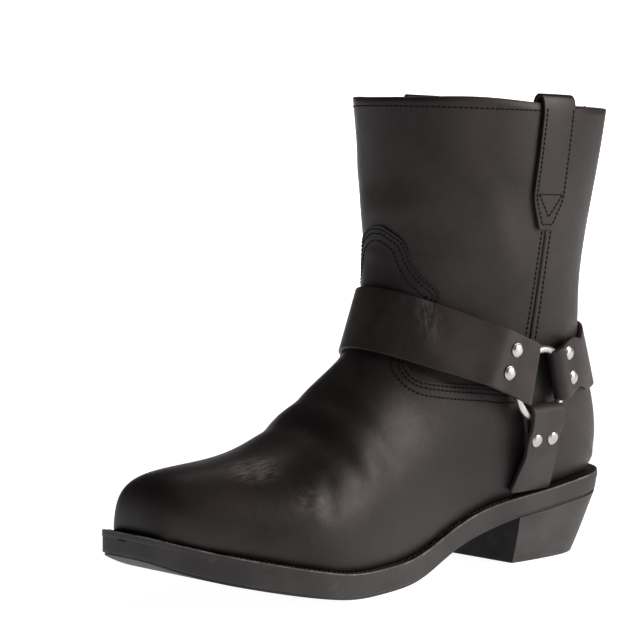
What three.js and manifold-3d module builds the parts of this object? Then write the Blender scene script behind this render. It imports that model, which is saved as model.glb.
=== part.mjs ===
// Left harness boot: a low western boot with a strap harness held by two rings.
// Millimetres, +Z up, +X towards the toe, +Y towards the outer side of the foot.
import * as THREE from 'three';
import { mergeVertices } from 'three/addons/utils/BufferGeometryUtils.js';
import Module from 'manifold-3d';

const wasm = await Module();
wasm.setup();

// Driving sizes of the sole and heel
const SOLE_LENGTH = 301.7;
const BALL_WIDTH = 108;
const WAIST_WIDTH = 66;
const HEEL_SEAT_WIDTH = 73;
const TOE_WIDTH = 43;
const TOE_SHIFT = 6.2;
const TOE_CORNER = 6;
const HEEL_ROUND = 42;
const SOLE_THICKNESS = 12.5;
const WELT_THICKNESS = 3.4;
const WELT_LEDGE = 5.4;
const TOE_LEDGE = 1.6;
const WELT_BAND = 11;
const TOE_SPRING = 23.5;
const BREAST_HEIGHT = 24.5;
const HEEL_BACK_HEIGHT = 31.5;
const HEEL_LENGTH = 79.5;
const HEEL_RAKE = 14.5;
const HEEL_TAPER = 6.4;
const TREAD_LAYER = 2.6;
const TREAD_STEP = 1;

// Driving sizes of the upper
const INSTEP_HEIGHT = 118;
const BOOT_HEIGHT = 243;
const COLLAR_DROP = 9;
const SHAFT_LENGTH = 150;
const SHAFT_WIDTH = 107;
const ANKLE_WIDTH = 84;
const WALL = 2.2;
const OVERLAY = 1.3;
const INSOLE_THICKNESS = 3;

// Driving sizes of the vamp and its tongue
const TONGUE_HEIGHT = 178.4;
const TONGUE_HALF = 27.6;
const VAMP_START = 80;

// Driving sizes of the harness
const STRAP_THICKNESS = 2.5;
const STRAP_WIDTH = 33;
const FOLD_WIDTH = 28;
const RING_DIAMETER = 40;
const RING_WIRE = 4;
const RING_BACK = 76.3;
const RING_HEIGHT = 95.4;
const RING_LEAN = 4;
const RING_TURN = 6;
const RING_STAND = 3.2;
const INSTEP_STRAP_SLOPE = 24;
const HEEL_STRAP_SLOPE = 7.5;
const HEEL_FOLD_SLOPE = 18;
const ARCH_FOLD_WIDTH = 24;
const ARCH_FOLD_SHIFT = -3;
const ARCH_STRAP_FOOT = 31;
const ARCH_FOOT_BACK = 71;
const RIVET_DIAMETER = 7.5;
const RIVET_HEIGHT = 1.5;
const RIVET_SPACING = 12.4;
const PULL_WIDTH = 24;
const PULL_THICKNESS = 2;
const PULL_LENGTH = 64;
const PULL_INSIDE = 36;
const PULL_RISE = 3.4;
const PULL_TAPER = 16;
const PULL_TIP = 10;
const SEAM_TOP_BACK = 65.2;
const SEAM_SLOPE = 0.115;
const SEAM_CORD = 2.4;
const SEAM_HEIGHT = 1;
const SEAM_LOW = 112;

// Small gap kept between curved pieces, and the drape gap under a strap
const GAP = 0.3;
const REST = 0.6;

// How finely the upper is divided
const AROUND = 24;
const FOOT_STEPS = 24;
const SHAFT_STEPS = 10;
const DENSE = 28;

const leather = new THREE.MeshStandardMaterial({ color: 0x2b2726, roughness: 0.5, metalness: 0 });
const lining = new THREE.MeshStandardMaterial({ color: 0x211d1b, roughness: 0.8, metalness: 0 });
const rubber = new THREE.MeshStandardMaterial({ color: 0x2a2929, roughness: 0.7, metalness: 0 });
const nickel = new THREE.MeshStandardMaterial({ color: 0xb9b6b1, roughness: 0.3, metalness: 1 });

// A smooth curve through the rows of a table that never swings past a row
function smooth(rows, column, key) {
  const x = rows.map((row) => row[key]);
  const y = rows.map((row) => row[column]);
  const slope = x.slice(1).map((value, i) => (y[i + 1] - y[i]) / (value - x[i]));
  const tangent = x.map((value, i) => {
    if (i === 0) return slope[0];
    if (i === x.length - 1) return slope[i - 1];
    if (slope[i - 1] * slope[i] <= 0) return 0;
    return 2 * slope[i - 1] * slope[i] / (slope[i - 1] + slope[i]);
  });
  return (at) => {
    const inside = Math.min(Math.max(at, x[0]), x[x.length - 1]);
    let i = 0;
    while (i < x.length - 2 && inside > x[i + 1]) i += 1;
    const span = x[i + 1] - x[i];
    const t = (inside - x[i]) / span;
    const a = (1 + 2 * t) * (1 - t) ** 2 * y[i] + t * (1 - t) ** 2 * span * tangent[i];
    const b = t ** 2 * (3 - 2 * t) * y[i + 1] - t ** 2 * (1 - t) * span * tangent[i + 1];
    return a + b;
  };
}

// Half widths of the sole as shares of the width that each row follows
const OUTLINE = [
  { at: 0.139, outer: 0.493, inner: 0.493, of: HEEL_SEAT_WIDTH },
  { at: 0.199, outer: 0.507, inner: 0.500, of: HEEL_SEAT_WIDTH },
  { at: 0.263, outer: 0.500, inner: 0.479, of: HEEL_SEAT_WIDTH },
  { at: 0.331, outer: 0.523, inner: 0.470, of: WAIST_WIDTH },
  { at: 0.400, outer: 0.523, inner: 0.440, of: WAIST_WIDTH },
  { at: 0.464, outer: 0.568, inner: 0.477, of: WAIST_WIDTH },
  { at: 0.530, outer: 0.403, inner: 0.338, of: BALL_WIDTH },
  { at: 0.596, outer: 0.458, inner: 0.398, of: BALL_WIDTH },
  { at: 0.662, outer: 0.500, inner: 0.449, of: BALL_WIDTH },
  { at: 0.700, outer: 0.509, inner: 0.468, of: BALL_WIDTH },
  { at: 0.745, outer: 0.500, inner: 0.474, of: BALL_WIDTH },
  { at: 0.795, outer: 0.468, inner: 0.462, of: BALL_WIDTH },
  { at: 0.861, outer: 0.392, inner: 0.417, of: BALL_WIDTH },
  { at: 0.927, outer: 0.280, inner: 0.343, of: BALL_WIDTH },
  { at: 0.970, outer: 0.450, inner: 0.722, of: TOE_WIDTH },
  { at: 1.000, outer: 0.300, inner: 0.645, of: TOE_WIDTH },
].map((row) => ({ x: row.at * SOLE_LENGTH, outer: row.outer * row.of, inner: row.inner * row.of }));

// Height of the walking face, and thickness of the welt and outsole together
const TREAD = [
  { at: 0.000, rise: 1.000, of: HEEL_BACK_HEIGHT, thick: 0.920 },
  { at: 0.100, rise: 0.946, of: HEEL_BACK_HEIGHT, thick: 0.900 },
  { at: 0.199, rise: 1.086, of: BREAST_HEIGHT, thick: 0.860 },
  { at: 0.263, rise: 1.000, of: BREAST_HEIGHT, thick: 0.864 },
  { at: 0.331, rise: 0.880, of: BREAST_HEIGHT, thick: 0.830 },
  { at: 0.400, rise: 0.604, of: BREAST_HEIGHT, thick: 0.816 },
  { at: 0.455, rise: 0.302, of: BREAST_HEIGHT, thick: 0.864 },
  { at: 0.503, rise: 0.080, of: BREAST_HEIGHT, thick: 0.984 },
  { at: 0.550, rise: 0.000, of: BREAST_HEIGHT, thick: 1.010 },
  { at: 0.670, rise: 0.000, of: TOE_SPRING, thick: 1.016 },
  { at: 0.745, rise: 0.128, of: TOE_SPRING, thick: 1.080 },
  { at: 0.828, rise: 0.350, of: TOE_SPRING, thick: 1.130 },
  { at: 0.911, rise: 0.620, of: TOE_SPRING, thick: 1.150 },
  { at: 1.000, rise: 1.000, of: TOE_SPRING, thick: 1.160 },
].map((row) => ({ x: row.at * SOLE_LENGTH, z: row.rise * row.of, thick: row.thick * SOLE_THICKNESS }));

const outerHalf = smooth(OUTLINE, 'outer', 'x');
const innerHalf = smooth(OUTLINE, 'inner', 'x');
const treadZ = smooth(TREAD, 'z', 'x');
const thickness = smooth(TREAD, 'thick', 'x');
const seatZ = (x) => treadZ(x) + thickness(x);

// One side of the sole's outline: a round heel end, the table, and a rounded toe corner
function sideOfSole(x, side) {
  const half = side > 0 ? outerHalf(x) : innerHalf(x);
  if (x < HEEL_ROUND) {
    const t = (HEEL_ROUND - x) / HEEL_ROUND;
    return side * half * (1 - t ** 2.06) ** (1 / 2.06);
  }
  const t = Math.max(0, (x - (SOLE_LENGTH - TOE_CORNER)) / TOE_CORNER);
  const corner = Math.max(0, 1 - t ** 3) ** (1 / 3);
  return -TOE_SHIFT + (side * half + TOE_SHIFT) * corner;
}

// Stations along the sole, close together at the heel's back and at the toe corners
function stations() {
  const heel = [0, 0.8, 3, 6.5, 11.5, 18, 26, 35].map((x) => x * HEEL_ROUND / 42);
  const toe = [1, 0.72, 0.45, 0.25, 0.1, 0.03, 0].map((share) => SOLE_LENGTH - share * TOE_CORNER);
  const from = HEEL_ROUND + 4;
  const to = SOLE_LENGTH - TOE_CORNER - 6;
  const steps = 19;
  const middle = Array.from({ length: steps + 1 }, (_, i) => from + (to - from) * i / steps);
  return [...heel, ...middle, ...toe];
}

// The outline moved inwards by an inset, as two rows of points from heel to toe
function outlineSides(inset, from = 0) {
  const line = stations().filter((x) => x >= from);
  return [1, -1].map((side) => {
    const points = line.map((x) => new THREE.Vector2(x, sideOfSole(x, side)));
    return points.map((point, i) => {
      const before = points[Math.max(0, i - 1)];
      const after = points[Math.min(points.length - 1, i + 1)];
      const along = after.clone().sub(before).normalize();
      if (i === points.length - 1) return new THREE.Vector2(point.x - inset, point.y);
      if (i === 0 && from === 0) return new THREE.Vector2(point.x + inset, point.y);
      return new THREE.Vector2(point.x + side * along.y * inset, point.y - side * along.x * inset);
    });
  });
}

// Where the inset outline lies at one distance from the heel
function featherAt(inset, x, side) {
  const row = outlineSides(inset)[side > 0 ? 0 : 1];
  for (let i = 1; i < row.length; i += 1) {
    if (row[i].x >= x) {
      const t = (x - row[i - 1].x) / Math.max(1e-6, row[i].x - row[i - 1].x);
      return row[i - 1].y + (row[i].y - row[i - 1].y) * Math.min(1, Math.max(0, t));
    }
  }
  return row[row.length - 1].y;
}

// A closed mesh from points and faces, with doubled points merged
function solid(points, faces) {
  const geometry = new THREE.BufferGeometry();
  const flat = points.flatMap((p) => [p.x, p.y, p.z]);
  geometry.setAttribute('position', new THREE.Float32BufferAttribute(flat, 3));
  geometry.setIndex(faces.flat());
  const merged = mergeVertices(geometry, 1e-4);
  const index = Array.from(merged.index.array);
  const kept = [];
  for (let i = 0; i < index.length; i += 3) {
    const [a, b, c] = index.slice(i, i + 3);
    if (a !== b && b !== c && c !== a) kept.push(a, b, c);
  }
  const position = merged.getAttribute('position');
  const corner = (k) => new THREE.Vector3().fromBufferAttribute(position, kept[k]);
  let volume = 0;
  for (let i = 0; i < kept.length; i += 3) {
    volume += corner(i).dot(corner(i + 1).cross(corner(i + 2)));
  }
  merged.setIndex(volume < 0 ? kept.reverse() : kept);
  return merged;
}

// Two triangles between four corners taken in order
const quad = (a, b, c, d) => [a, b, c, a, c, d];

// A solid through rows of points; rows close on themselves, ends are capped as ladders
function stack(levels, hollow) {
  const count = levels[0].length;
  const points = levels.flat();
  const faces = [];
  const last = levels.length - (hollow ? 0 : 1);
  for (let k = 0; k < last; k += 1) {
    const next = (k + 1) % levels.length;
    for (let i = 0; i < count; i += 1) {
      const j = (i + 1) % count;
      faces.push(quad(k * count + i, k * count + j, next * count + j, next * count + i));
    }
  }
  if (!hollow) {
    const top = (levels.length - 1) * count;
    for (let i = 0; i < count / 2 - 1; i += 1) {
      const mirror = count - 1 - i;
      faces.push(quad(i, mirror, mirror - 1, i + 1));
      faces.push(quad(top + i, top + i + 1, top + mirror - 1, top + mirror));
    }
  }
  return solid(points, faces);
}

// A loop round the sole at an inset, at heights given by a function of distance from the heel
function soleLoop(inset, height, from = 0) {
  const [outer, inner] = outlineSides(inset, from);
  const loop = [...inner, ...outer.slice().reverse()];
  return loop.map((p) => new THREE.Vector3(p.x, p.y, height(p.x)));
}

function outsoleGeometry() {
  const top = (x) => seatZ(x) - WELT_THICKNESS - GAP;
  return stack([
    soleLoop(TREAD_STEP, treadZ),
    soleLoop(TREAD_STEP, (x) => treadZ(x) + TREAD_LAYER),
    soleLoop(0, (x) => treadZ(x) + TREAD_LAYER + TREAD_STEP / 2),
    soleLoop(0, top),
  ], false);
}

function weltGeometry() {
  const under = (x) => seatZ(x) - WELT_THICKNESS;
  return stack([
    soleLoop(0, under),
    soleLoop(0, seatZ),
    soleLoop(WELT_BAND, seatZ),
    soleLoop(WELT_BAND, under),
  ], true);
}

// The insole: the sole's outline drawn in past the upper's wall, short of its toe
function insoleGeometry() {
  const inset = WELT_LEDGE + WALL + 3 * REST;
  const shares = [0.004, 0.018, 0.045, 0.08, 0.13, 0.96, 0.985, 1];
  const middle = Array.from({ length: 14 }, (_, i) => 0.19 + 0.055 * i);
  const line = [...shares, ...middle].sort((a, b) => a - b)
    .map((share) => inset + share * (SOLE_LENGTH - TOE_CORNER - 2 * inset));
  const loop = (rise, draw) => {
    const side = (points, sign) => points.map((x) => {
      return new THREE.Vector3(x, featherAt(inset, x, sign) - sign * draw, seatZ(x) + rise);
    });
    return [...side(line, -1), ...side(line.slice().reverse(), 1)];
  };
  return stack([loop(GAP, 0), loop(GAP + INSOLE_THICKNESS, 0.3)], false);
}

// The heel block: the sole's outline above, drawn in below, with a flat front
function heelGeometry() {
  const rows = stations().filter((x) => x < HEEL_LENGTH);
  const line = [...rows, HEEL_LENGTH];
  const level = (share) => {
    const pull = share ** 1.25;
    const place = (x, side) => {
      const moved = x + HEEL_RAKE * pull * (1 - x / HEEL_LENGTH);
      const y = sideOfSole(x, side) * (1 - 2 * HEEL_TAPER * pull / HEEL_SEAT_WIDTH);
      return new THREE.Vector3(moved, y, (treadZ(moved) - GAP) * (1 - share));
    };
    return [...line.map((x) => place(x, -1)), ...line.slice().reverse().map((x) => place(x, 1))];
  };
  return stack([level(1), level(0.66), level(0.33), level(0)], false);
}

// Sections of the upper. Each is a closed or open loop in a plane across the boot:
// front is its point on the centre line above or ahead, back its foot on the sole or up the heel.
// wide is the widest span, at is its place between back (0) and front (1).
const FOOT = [
  { front: 0.9818, rise: 0.000, back: 0.9580, wide: 0.390, at: 0.00, round: 2.70, low: 2.0, shift: -0.050 },
  { front: 0.9830, rise: 0.100, back: 0.9530, wide: 0.400, at: 0.06, round: 2.60, low: 2.0, shift: -0.048 },
  { front: 0.9770, rise: 0.210, back: 0.9430, wide: 0.452, at: 0.10, round: 2.50, low: 2.0, shift: -0.042 },
  { front: 0.9640, rise: 0.296, back: 0.9310, wide: 0.530, at: 0.12, round: 2.42, low: 2.0, shift: -0.034 },
  { front: 0.9320, rise: 0.341, back: 0.9050, wide: 0.626, at: 0.14, round: 2.36, low: 2.0, shift: -0.024 },
  { front: 0.8700, rise: 0.362, back: 0.8520, wide: 0.756, at: 0.17, round: 2.30, low: 2.0, shift: -0.008 },
  { front: 0.7960, rise: 0.383, back: 0.7870, wide: 0.872, at: 0.20, round: 2.22, low: 2.0, shift: 0.006 },
  { front: 0.7360, rise: 0.438, back: 0.7360, wide: 0.914, at: 0.22, round: 2.14, low: 2.0, shift: 0.016 },
  { front: 0.6800, rise: 0.537, back: 0.6820, wide: 0.906, at: 0.24, round: 2.05, low: 2.0, shift: 0.024 },
  { front: 0.6290, rise: 0.691, back: 0.6290, wide: 0.852, at: 0.27, round: 1.98, low: 2.0, shift: 0.028 },
  { front: 0.5820, rise: 0.827, back: 0.5690, wide: 0.780, at: 0.31, round: 1.94, low: 2.0, shift: 0.030 },
  { front: 0.5460, rise: 0.926, back: 0.5030, wide: 0.722, at: 0.36, round: 1.92, low: 2.1, shift: 0.030 },
];
const ANKLE = [
  { front: 1.047, rise: 0.000, back: 0.4290, wide: 0.885, at: 0.41, round: 1.94, low: 2.1, shift: 0.026 },
  { front: 1.020, rise: 0.048, back: 0.3480, wide: 0.905, at: 0.45, round: 1.96, low: 2.2, shift: 0.020 },
  { front: 1.003, rise: 0.096, back: 0.2650, wide: 0.935, at: 0.47, round: 1.98, low: 2.2, shift: 0.014 },
  { front: 0.991, rise: 0.140, back: 0.1820, wide: 0.955, at: 0.48, round: 2.00, low: 2.3, shift: 0.010 },
  { front: 0.982, rise: 0.180, back: 0.1090, wide: 0.965, at: 0.49, round: 2.00, low: 2.4, shift: 0.008 },
  { front: 0.975, rise: 0.212, back: 0.0640, wide: 0.970, at: 0.49, round: 2.00, low: 2.5, shift: 0.008 },
  { front: 0.969, rise: 0.236, back: 0.0360, wide: 0.975, at: 0.50, round: 2.00, low: 2.5, shift: 0.008 },
  { front: 0.965, rise: 0.254, back: 0.0230, wide: 0.978, at: 0.50, round: 2.00, low: 2.5, shift: 0.008 },
];
const SHAFT = [
  { front: 0.963, rise: 0.270, back: 0.036, up: 0.000, wide: 0.770, round: 2.00, low: 2.45 },
  { front: 0.959, rise: 0.300, back: 0.018, up: 0.065, wide: 0.780, round: 2.00, low: 2.38 },
  { front: 0.955, rise: 0.340, back: 0.017, up: 0.150, wide: 0.795, round: 2.00, low: 2.28 },
  { front: 0.953, rise: 0.382, back: 0.054, up: 0.225, wide: 0.812, round: 2.00, low: 2.20 },
  { front: 0.951, rise: 0.430, back: 0.085, up: 0.305, wide: 0.832, round: 2.00, low: 2.10 },
  { front: 0.951, rise: 0.490, back: 0.102, up: 0.390, wide: 0.856, round: 2.00, low: 2.05 },
  { front: 0.953, rise: 0.560, back: 0.104, up: 0.485, wide: 0.884, round: 2.00, low: 2.00 },
  { front: 0.957, rise: 0.645, back: 0.084, up: 0.595, wide: 0.915, round: 2.00, low: 2.00 },
  { front: 0.962, rise: 0.730, back: 0.050, up: 0.710, wide: 0.945, round: 2.00, low: 2.00 },
  { front: 0.969, rise: 0.820, back: 0.014, up: 0.815, wide: 0.970, round: 2.00, low: 2.00 },
  { front: 0.977, rise: 0.915, back: -0.018, up: 0.915, wide: 0.990, round: 2.00, low: 2.00 },
  { front: 0.985, rise: 1.000, back: -0.042, up: 1.000, wide: 1.000, round: 2.00, low: 2.00 },
];
const HEEL_EDGE = WELT_LEDGE;
const SHAFT_SHIFT = 0.9;

// The key sections with their real lengths, from the toe to the collar
function keySections() {
  const seat = seatZ(HEEL_EDGE);
  const toeFront = SOLE_LENGTH - WELT_LEDGE - TOE_LEDGE;
  const above = BOOT_HEIGHT - INSTEP_HEIGHT;
  const foot = FOOT.map((row) => ({
    frontX: row.front / FOOT[0].front * toeFront,
    frontZ: seatZ(toeFront) + (INSTEP_HEIGHT - seatZ(toeFront)) * row.rise + REST,
    backX: row.back * SOLE_LENGTH,
    half: row.wide * BALL_WIDTH / 2,
    at: row.at,
    round: row.round,
    low: row.low,
    shift: row.shift * BALL_WIDTH,
  }));
  const ankle = ANKLE.map((row) => ({
    frontX: row.front * SHAFT_LENGTH,
    frontZ: INSTEP_HEIGHT + row.rise * above,
    backX: row.back * SOLE_LENGTH,
    half: row.wide * ANKLE_WIDTH / 2,
    at: row.at,
    round: row.round,
    low: row.low,
    shift: row.shift * BALL_WIDTH,
  }));
  const shaft = SHAFT.map((row, i) => ({
    frontX: row.front * SHAFT_LENGTH,
    frontZ: INSTEP_HEIGHT + row.rise * above,
    backX: i === 0 ? HEEL_EDGE : row.back * SHAFT_LENGTH,
    backZ: seat + row.up * (BOOT_HEIGHT - COLLAR_DROP - seat),
    half: row.wide * SHAFT_WIDTH / 2,
    at: 0.5,
    round: row.round,
    low: row.low,
    shift: SHAFT_SHIFT,
  }));
  return { foot, ankle, shaft };
}

// A value between the key sections, drawn as a smooth curve through four of them
function between(rows, place, column) {
  const i = Math.min(Math.floor(place), rows.length - 2);
  const t = place - i;
  const [a, b, c, d] = [i - 1, i, i + 1, i + 2].map((k) => {
    return rows[Math.min(Math.max(k, 0), rows.length - 1)][column];
  });
  const curve = -a + 3 * b - 3 * c + d;
  return b + 0.5 * t * (c - a + t * (2 * a - 5 * b + 4 * c - d + t * curve));
}

// One section as points from the outer side over the front to the inner side
function sectionPoints(row, closed) {
  const back = new THREE.Vector3(row.backX, 0, closed ? row.backZ : seatZ(row.backX));
  const front = new THREE.Vector3(row.frontX, 0, row.frontZ);
  const sides = [1, -1].map((side) => {
    const foot = closed ? 0 : Math.abs(featherAt(WELT_LEDGE, row.backX, side) - row.shift);
    const half = Math.max(row.half, foot);
    const share = Math.min(foot / half, 0.9999);
    const depth = row.at / (1 - share ** row.low) ** (1 / row.low);
    const line = [];
    for (let k = 0; k <= DENSE; k += 1) {
      const angle = Math.PI / 2 * k / DENSE;
      const across = Math.sin(angle) ** (2 / row.round);
      line.push([half * across, row.at + (1 - row.at) * Math.cos(angle) ** (2 / row.round)]);
    }
    const turn = row.at > 0 ? Math.asin((row.at / depth) ** (row.low / 2)) : 0;
    for (let k = 1; k <= DENSE && row.at > 0; k += 1) {
      const angle = turn * k / DENSE;
      const across = Math.cos(angle) ** (2 / row.low);
      line.push([half * Math.max(0, across), row.at - depth * Math.sin(angle) ** (2 / row.low)]);
    }
    line[line.length - 1] = [foot, 0];
    const rise = front.clone().sub(back);
    const place = line.map(([y, h]) => {
      const p = back.clone().addScaledVector(rise, h);
      return new THREE.Vector3(p.x, row.shift + side * y, p.z);
    });
    return evenly(place, AROUND / 2);
  });
  const outer = sides[0].slice().reverse();
  return [...outer, ...sides[1].slice(1)];
}

// The same line with evenly spaced points
function evenly(line, steps) {
  const run = [0];
  for (let i = 1; i < line.length; i += 1) run.push(run[i - 1] + line[i].distanceTo(line[i - 1]));
  const total = run[run.length - 1];
  const result = [];
  let i = 1;
  for (let k = 0; k <= steps; k += 1) {
    const want = total * k / steps;
    while (i < line.length - 1 && run[i] < want) i += 1;
    const t = (want - run[i - 1]) / Math.max(1e-9, run[i] - run[i - 1]);
    result.push(line[i - 1].clone().lerp(line[i], Math.min(1, Math.max(0, t))));
  }
  return result;
}

// All sections of the outer face: open ones over the foot, then closed ones up the shaft
function upperSections() {
  const { foot, ankle, shaft } = keySections();
  const join = { ...shaft[0], backX: HEEL_EDGE };
  const arch = [...foot, ...ankle, join];
  const columns = ['frontX', 'frontZ', 'backX', 'half', 'at', 'round', 'low', 'shift'];
  const read = (rows, place, names) => Object.fromEntries(names.map((n) => [n, between(rows, place, n)]));
  const openRows = [];
  for (let k = 0; k < FOOT_STEPS; k += 1) {
    const place = (arch.length - 1) * k / FOOT_STEPS;
    openRows.push(sectionPoints(read(arch, place, columns), false));
  }
  const closedRows = [];
  for (let k = 0; k <= SHAFT_STEPS; k += 1) {
    const place = (shaft.length - 1) * k / SHAFT_STEPS;
    closedRows.push(sectionPoints(read(shaft, place, [...columns, 'backZ']), true));
  }
  return { rows: [...openRows, ...closedRows], open: openRows.length };
}

// The outer face's points pushed out by an offset, its lower edge kept level with the sole
function offsetRows(surface, offset, footZ) {
  const { rows, open } = surface;
  const count = rows[0].length;
  return rows.map((row, i) => row.map((point, j) => {
    const up = rows[Math.min(i + 1, rows.length - 1)][j];
    const down = rows[Math.max(i - 1, 0)][j];
    const wraps = i >= open;
    const left = row[j + 1] ?? (wraps ? row[1] : row[j]);
    const right = row[j - 1] ?? (wraps ? row[count - 2] : row[j]);
    const normal = up.clone().sub(down).cross(left.clone().sub(right)).normalize();
    const edge = i === 0 || (i <= open && (j === 0 || j === count - 1));
    if (edge) normal.setZ(0).normalize();
    const moved = point.clone().addScaledVector(normal, offset);
    if (edge) moved.z = seatZ(point.x) + footZ;
    return moved;
  }));
}

// Faces of a grid of rows, outward or turned round
function gridFaces(rowCount, count, start, flip) {
  const faces = [];
  for (let i = 0; i < rowCount - 1; i += 1) {
    for (let j = 0; j < count - 1; j += 1) {
      const a = start + i * count + j;
      const ring = [a, a + count, a + count + 1, a + 1];
      faces.push(quad(...(flip ? ring.slice().reverse() : ring)));
    }
  }
  return faces;
}

const SURFACE = upperSections();
const ROWS = SURFACE.rows.length;
const COUNT = SURFACE.rows[0].length;
const OPEN = SURFACE.open;

// A closed block of the upper's outer form, filled, with its offset and the height of its floor
function upperForm(offset, footZ = REST) {
  const rows = offsetRows(SURFACE, offset, footZ);
  const points = rows.flat();
  const faces = gridFaces(ROWS, COUNT, 0, false);
  const last = COUNT - 1;
  for (let i = 0; i < OPEN; i += 1) {
    const a = i * COUNT;
    const b = a + COUNT;
    faces.push(quad(a, a + last, b + last, b));
  }
  const half = last / 2;
  for (let j = 0; j < half; j += 1) {
    faces.push(quad(j, j + 1, last - j - 1, last - j));
    const top = (ROWS - 1) * COUNT;
    faces.push(quad(top + j, top + last - j, top + last - j - 1, top + j + 1));
  }
  return solid(points, faces);
}

// The upper: one wall, open at the collar and underneath
function upperGeometry() {
  const outer = offsetRows(SURFACE, 0, REST);
  const inner = offsetRows(SURFACE, -WALL, REST);
  const points = [...outer.flat(), ...inner.flat()];
  const shift = ROWS * COUNT;
  const last = COUNT - 1;
  const faces = [...gridFaces(ROWS, COUNT, 0, false), ...gridFaces(ROWS, COUNT, shift, true)];
  for (let j = 0; j < last; j += 1) {
    faces.push(quad(j, j + 1, j + 1 + shift, j + shift));
    const top = (ROWS - 1) * COUNT + j;
    faces.push(quad(top, top + shift, top + 1 + shift, top + 1));
  }
  for (let i = 0; i < OPEN; i += 1) {
    const a = i * COUNT;
    const b = a + COUNT;
    faces.push(quad(a, a + shift, b + shift, b));
    faces.push(quad(a + last, b + last, b + last + shift, a + last + shift));
  }
  return solid(points, faces);
}

// The outer face as triangles, to find where a line from inside leaves it
const FACE = upperForm(0).toNonIndexed().getAttribute('position');
const TRIANGLES = Array.from({ length: FACE.count / 3 }, (_, i) => {
  return [0, 1, 2].map((k) => new THREE.Vector3().fromBufferAttribute(FACE, 3 * i + k));
});

function reach(origin, direction) {
  const ray = new THREE.Ray(origin, direction.clone().normalize());
  const spot = new THREE.Vector3();
  let far = 0;
  for (const [a, b, c] of TRIANGLES) {
    if (ray.intersectTriangle(a, b, c, false, spot)) far = Math.max(far, spot.distanceTo(origin));
  }
  return far;
}

const toManifold = (geometry) => new wasm.Manifold(new wasm.Mesh({
  numProp: 3,
  vertProperties: new Float32Array(geometry.getAttribute('position').array),
  triVerts: new Uint32Array(geometry.index.array),
}));

function fromManifold(shape) {
  const mesh = shape.getMesh();
  const geometry = new THREE.BufferGeometry();
  geometry.setAttribute('position', new THREE.Float32BufferAttribute(mesh.vertProperties, 3));
  geometry.setIndex(Array.from(mesh.triVerts));
  return geometry;
}

// A flat outline given thickness, then turned so that its axes lie along three directions
function extruded(shape, depth, origin, axes, curve = 6) {
  const geometry = new THREE.ExtrudeGeometry(shape, { depth, bevelEnabled: false, curveSegments: curve });
  geometry.applyMatrix4(new THREE.Matrix4().makeBasis(...axes).setPosition(origin));
  const bare = new THREE.BufferGeometry();
  bare.setAttribute('position', geometry.getAttribute('position'));
  const index = Array.from({ length: bare.getAttribute('position').count }, (_, i) => i);
  const points = index.map((i) => new THREE.Vector3().fromBufferAttribute(bare.getAttribute('position'), i));
  return solid(points, index);
}

const X = new THREE.Vector3(1, 0, 0);
const Y = new THREE.Vector3(0, 1, 0);
const Z = new THREE.Vector3(0, 0, 1);

// Edge of the vamp on the side of the boot, from the side seam forward and up to the tongue
const VAMP_EDGE = [
  { along: 0.00, up: 0.795 },
  { along: 0.25, up: 0.799 },
  { along: 0.40, up: 0.814 },
  { along: 0.71, up: 0.836 },
  { along: 0.90, up: 0.856 },
  { along: 0.965, up: 0.872 },
  { along: 0.99, up: 0.896 },
  { along: 1.00, up: 0.921 },
  { along: 0.995, up: 0.955 },
];
const VAMP_NECK = 148;

// Half of the tongue's outline seen from the front, from its point down to the neck
const TONGUE_EDGE = [
  { across: 0.00, up: 1.000 },
  { across: 0.16, up: 0.998 },
  { across: 0.33, up: 0.960 },
  { across: 0.54, up: 0.890 },
  { across: 0.63, up: 0.800 },
  { across: 0.69, up: 0.700 },
  { across: 0.80, up: 0.595 },
  { across: 0.93, up: 0.505 },
  { across: 1.00, up: 0.440 },
  { across: 0.98, up: 0.350 },
  { across: 0.87, up: 0.200 },
  { across: 0.82, up: 0.030 },
  { across: 0.88, up: -0.100 },
];

// The vamp and tongue: a shell between two larger forms of the upper, cut to its outline
function vampGeometry() {
  const shell = toManifold(upperForm(GAP + OVERLAY)).subtract(toManifold(upperForm(GAP, REST - 1)));
  const edge = VAMP_EDGE.map((row) => new THREE.Vector2(
    VAMP_START + row.along * (VAMP_NECK - VAMP_START),
    row.up * INSTEP_HEIGHT,
  ));
  const top = INSTEP_HEIGHT * 1.03;
  const side = new THREE.Shape([
    new THREE.Vector2(VAMP_START, -10),
    ...edge,
    new THREE.Vector2(VAMP_NECK, top),
    new THREE.Vector2(SOLE_LENGTH + 20, top),
    new THREE.Vector2(SOLE_LENGTH + 20, -10),
  ]);
  const rise = TONGUE_HEIGHT - INSTEP_HEIGHT;
  const half = TONGUE_EDGE.map((row) => new THREE.Vector2(
    row.across * TONGUE_HALF,
    INSTEP_HEIGHT + row.up * rise,
  ));
  const other = half.slice(1).reverse().map((p) => new THREE.Vector2(-p.x, p.y));
  const tongue = new THREE.Shape([...half, ...other]);
  const span = BALL_WIDTH * 1.6;
  const sideBlock = extruded(side, span, new THREE.Vector3(0, span / 2, 0), [X, Z, Y.clone().negate()]);
  const front = new THREE.Vector3(SHAFT_LENGTH / 2, SHAFT_SHIFT, 0);
  const tongueBlock = extruded(tongue, SHAFT_LENGTH, front, [Y, Z, X]);
  const cutter = toManifold(sideBlock).add(toManifold(tongueBlock));
  return fromManifold(shell.intersect(cutter));
}

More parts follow.
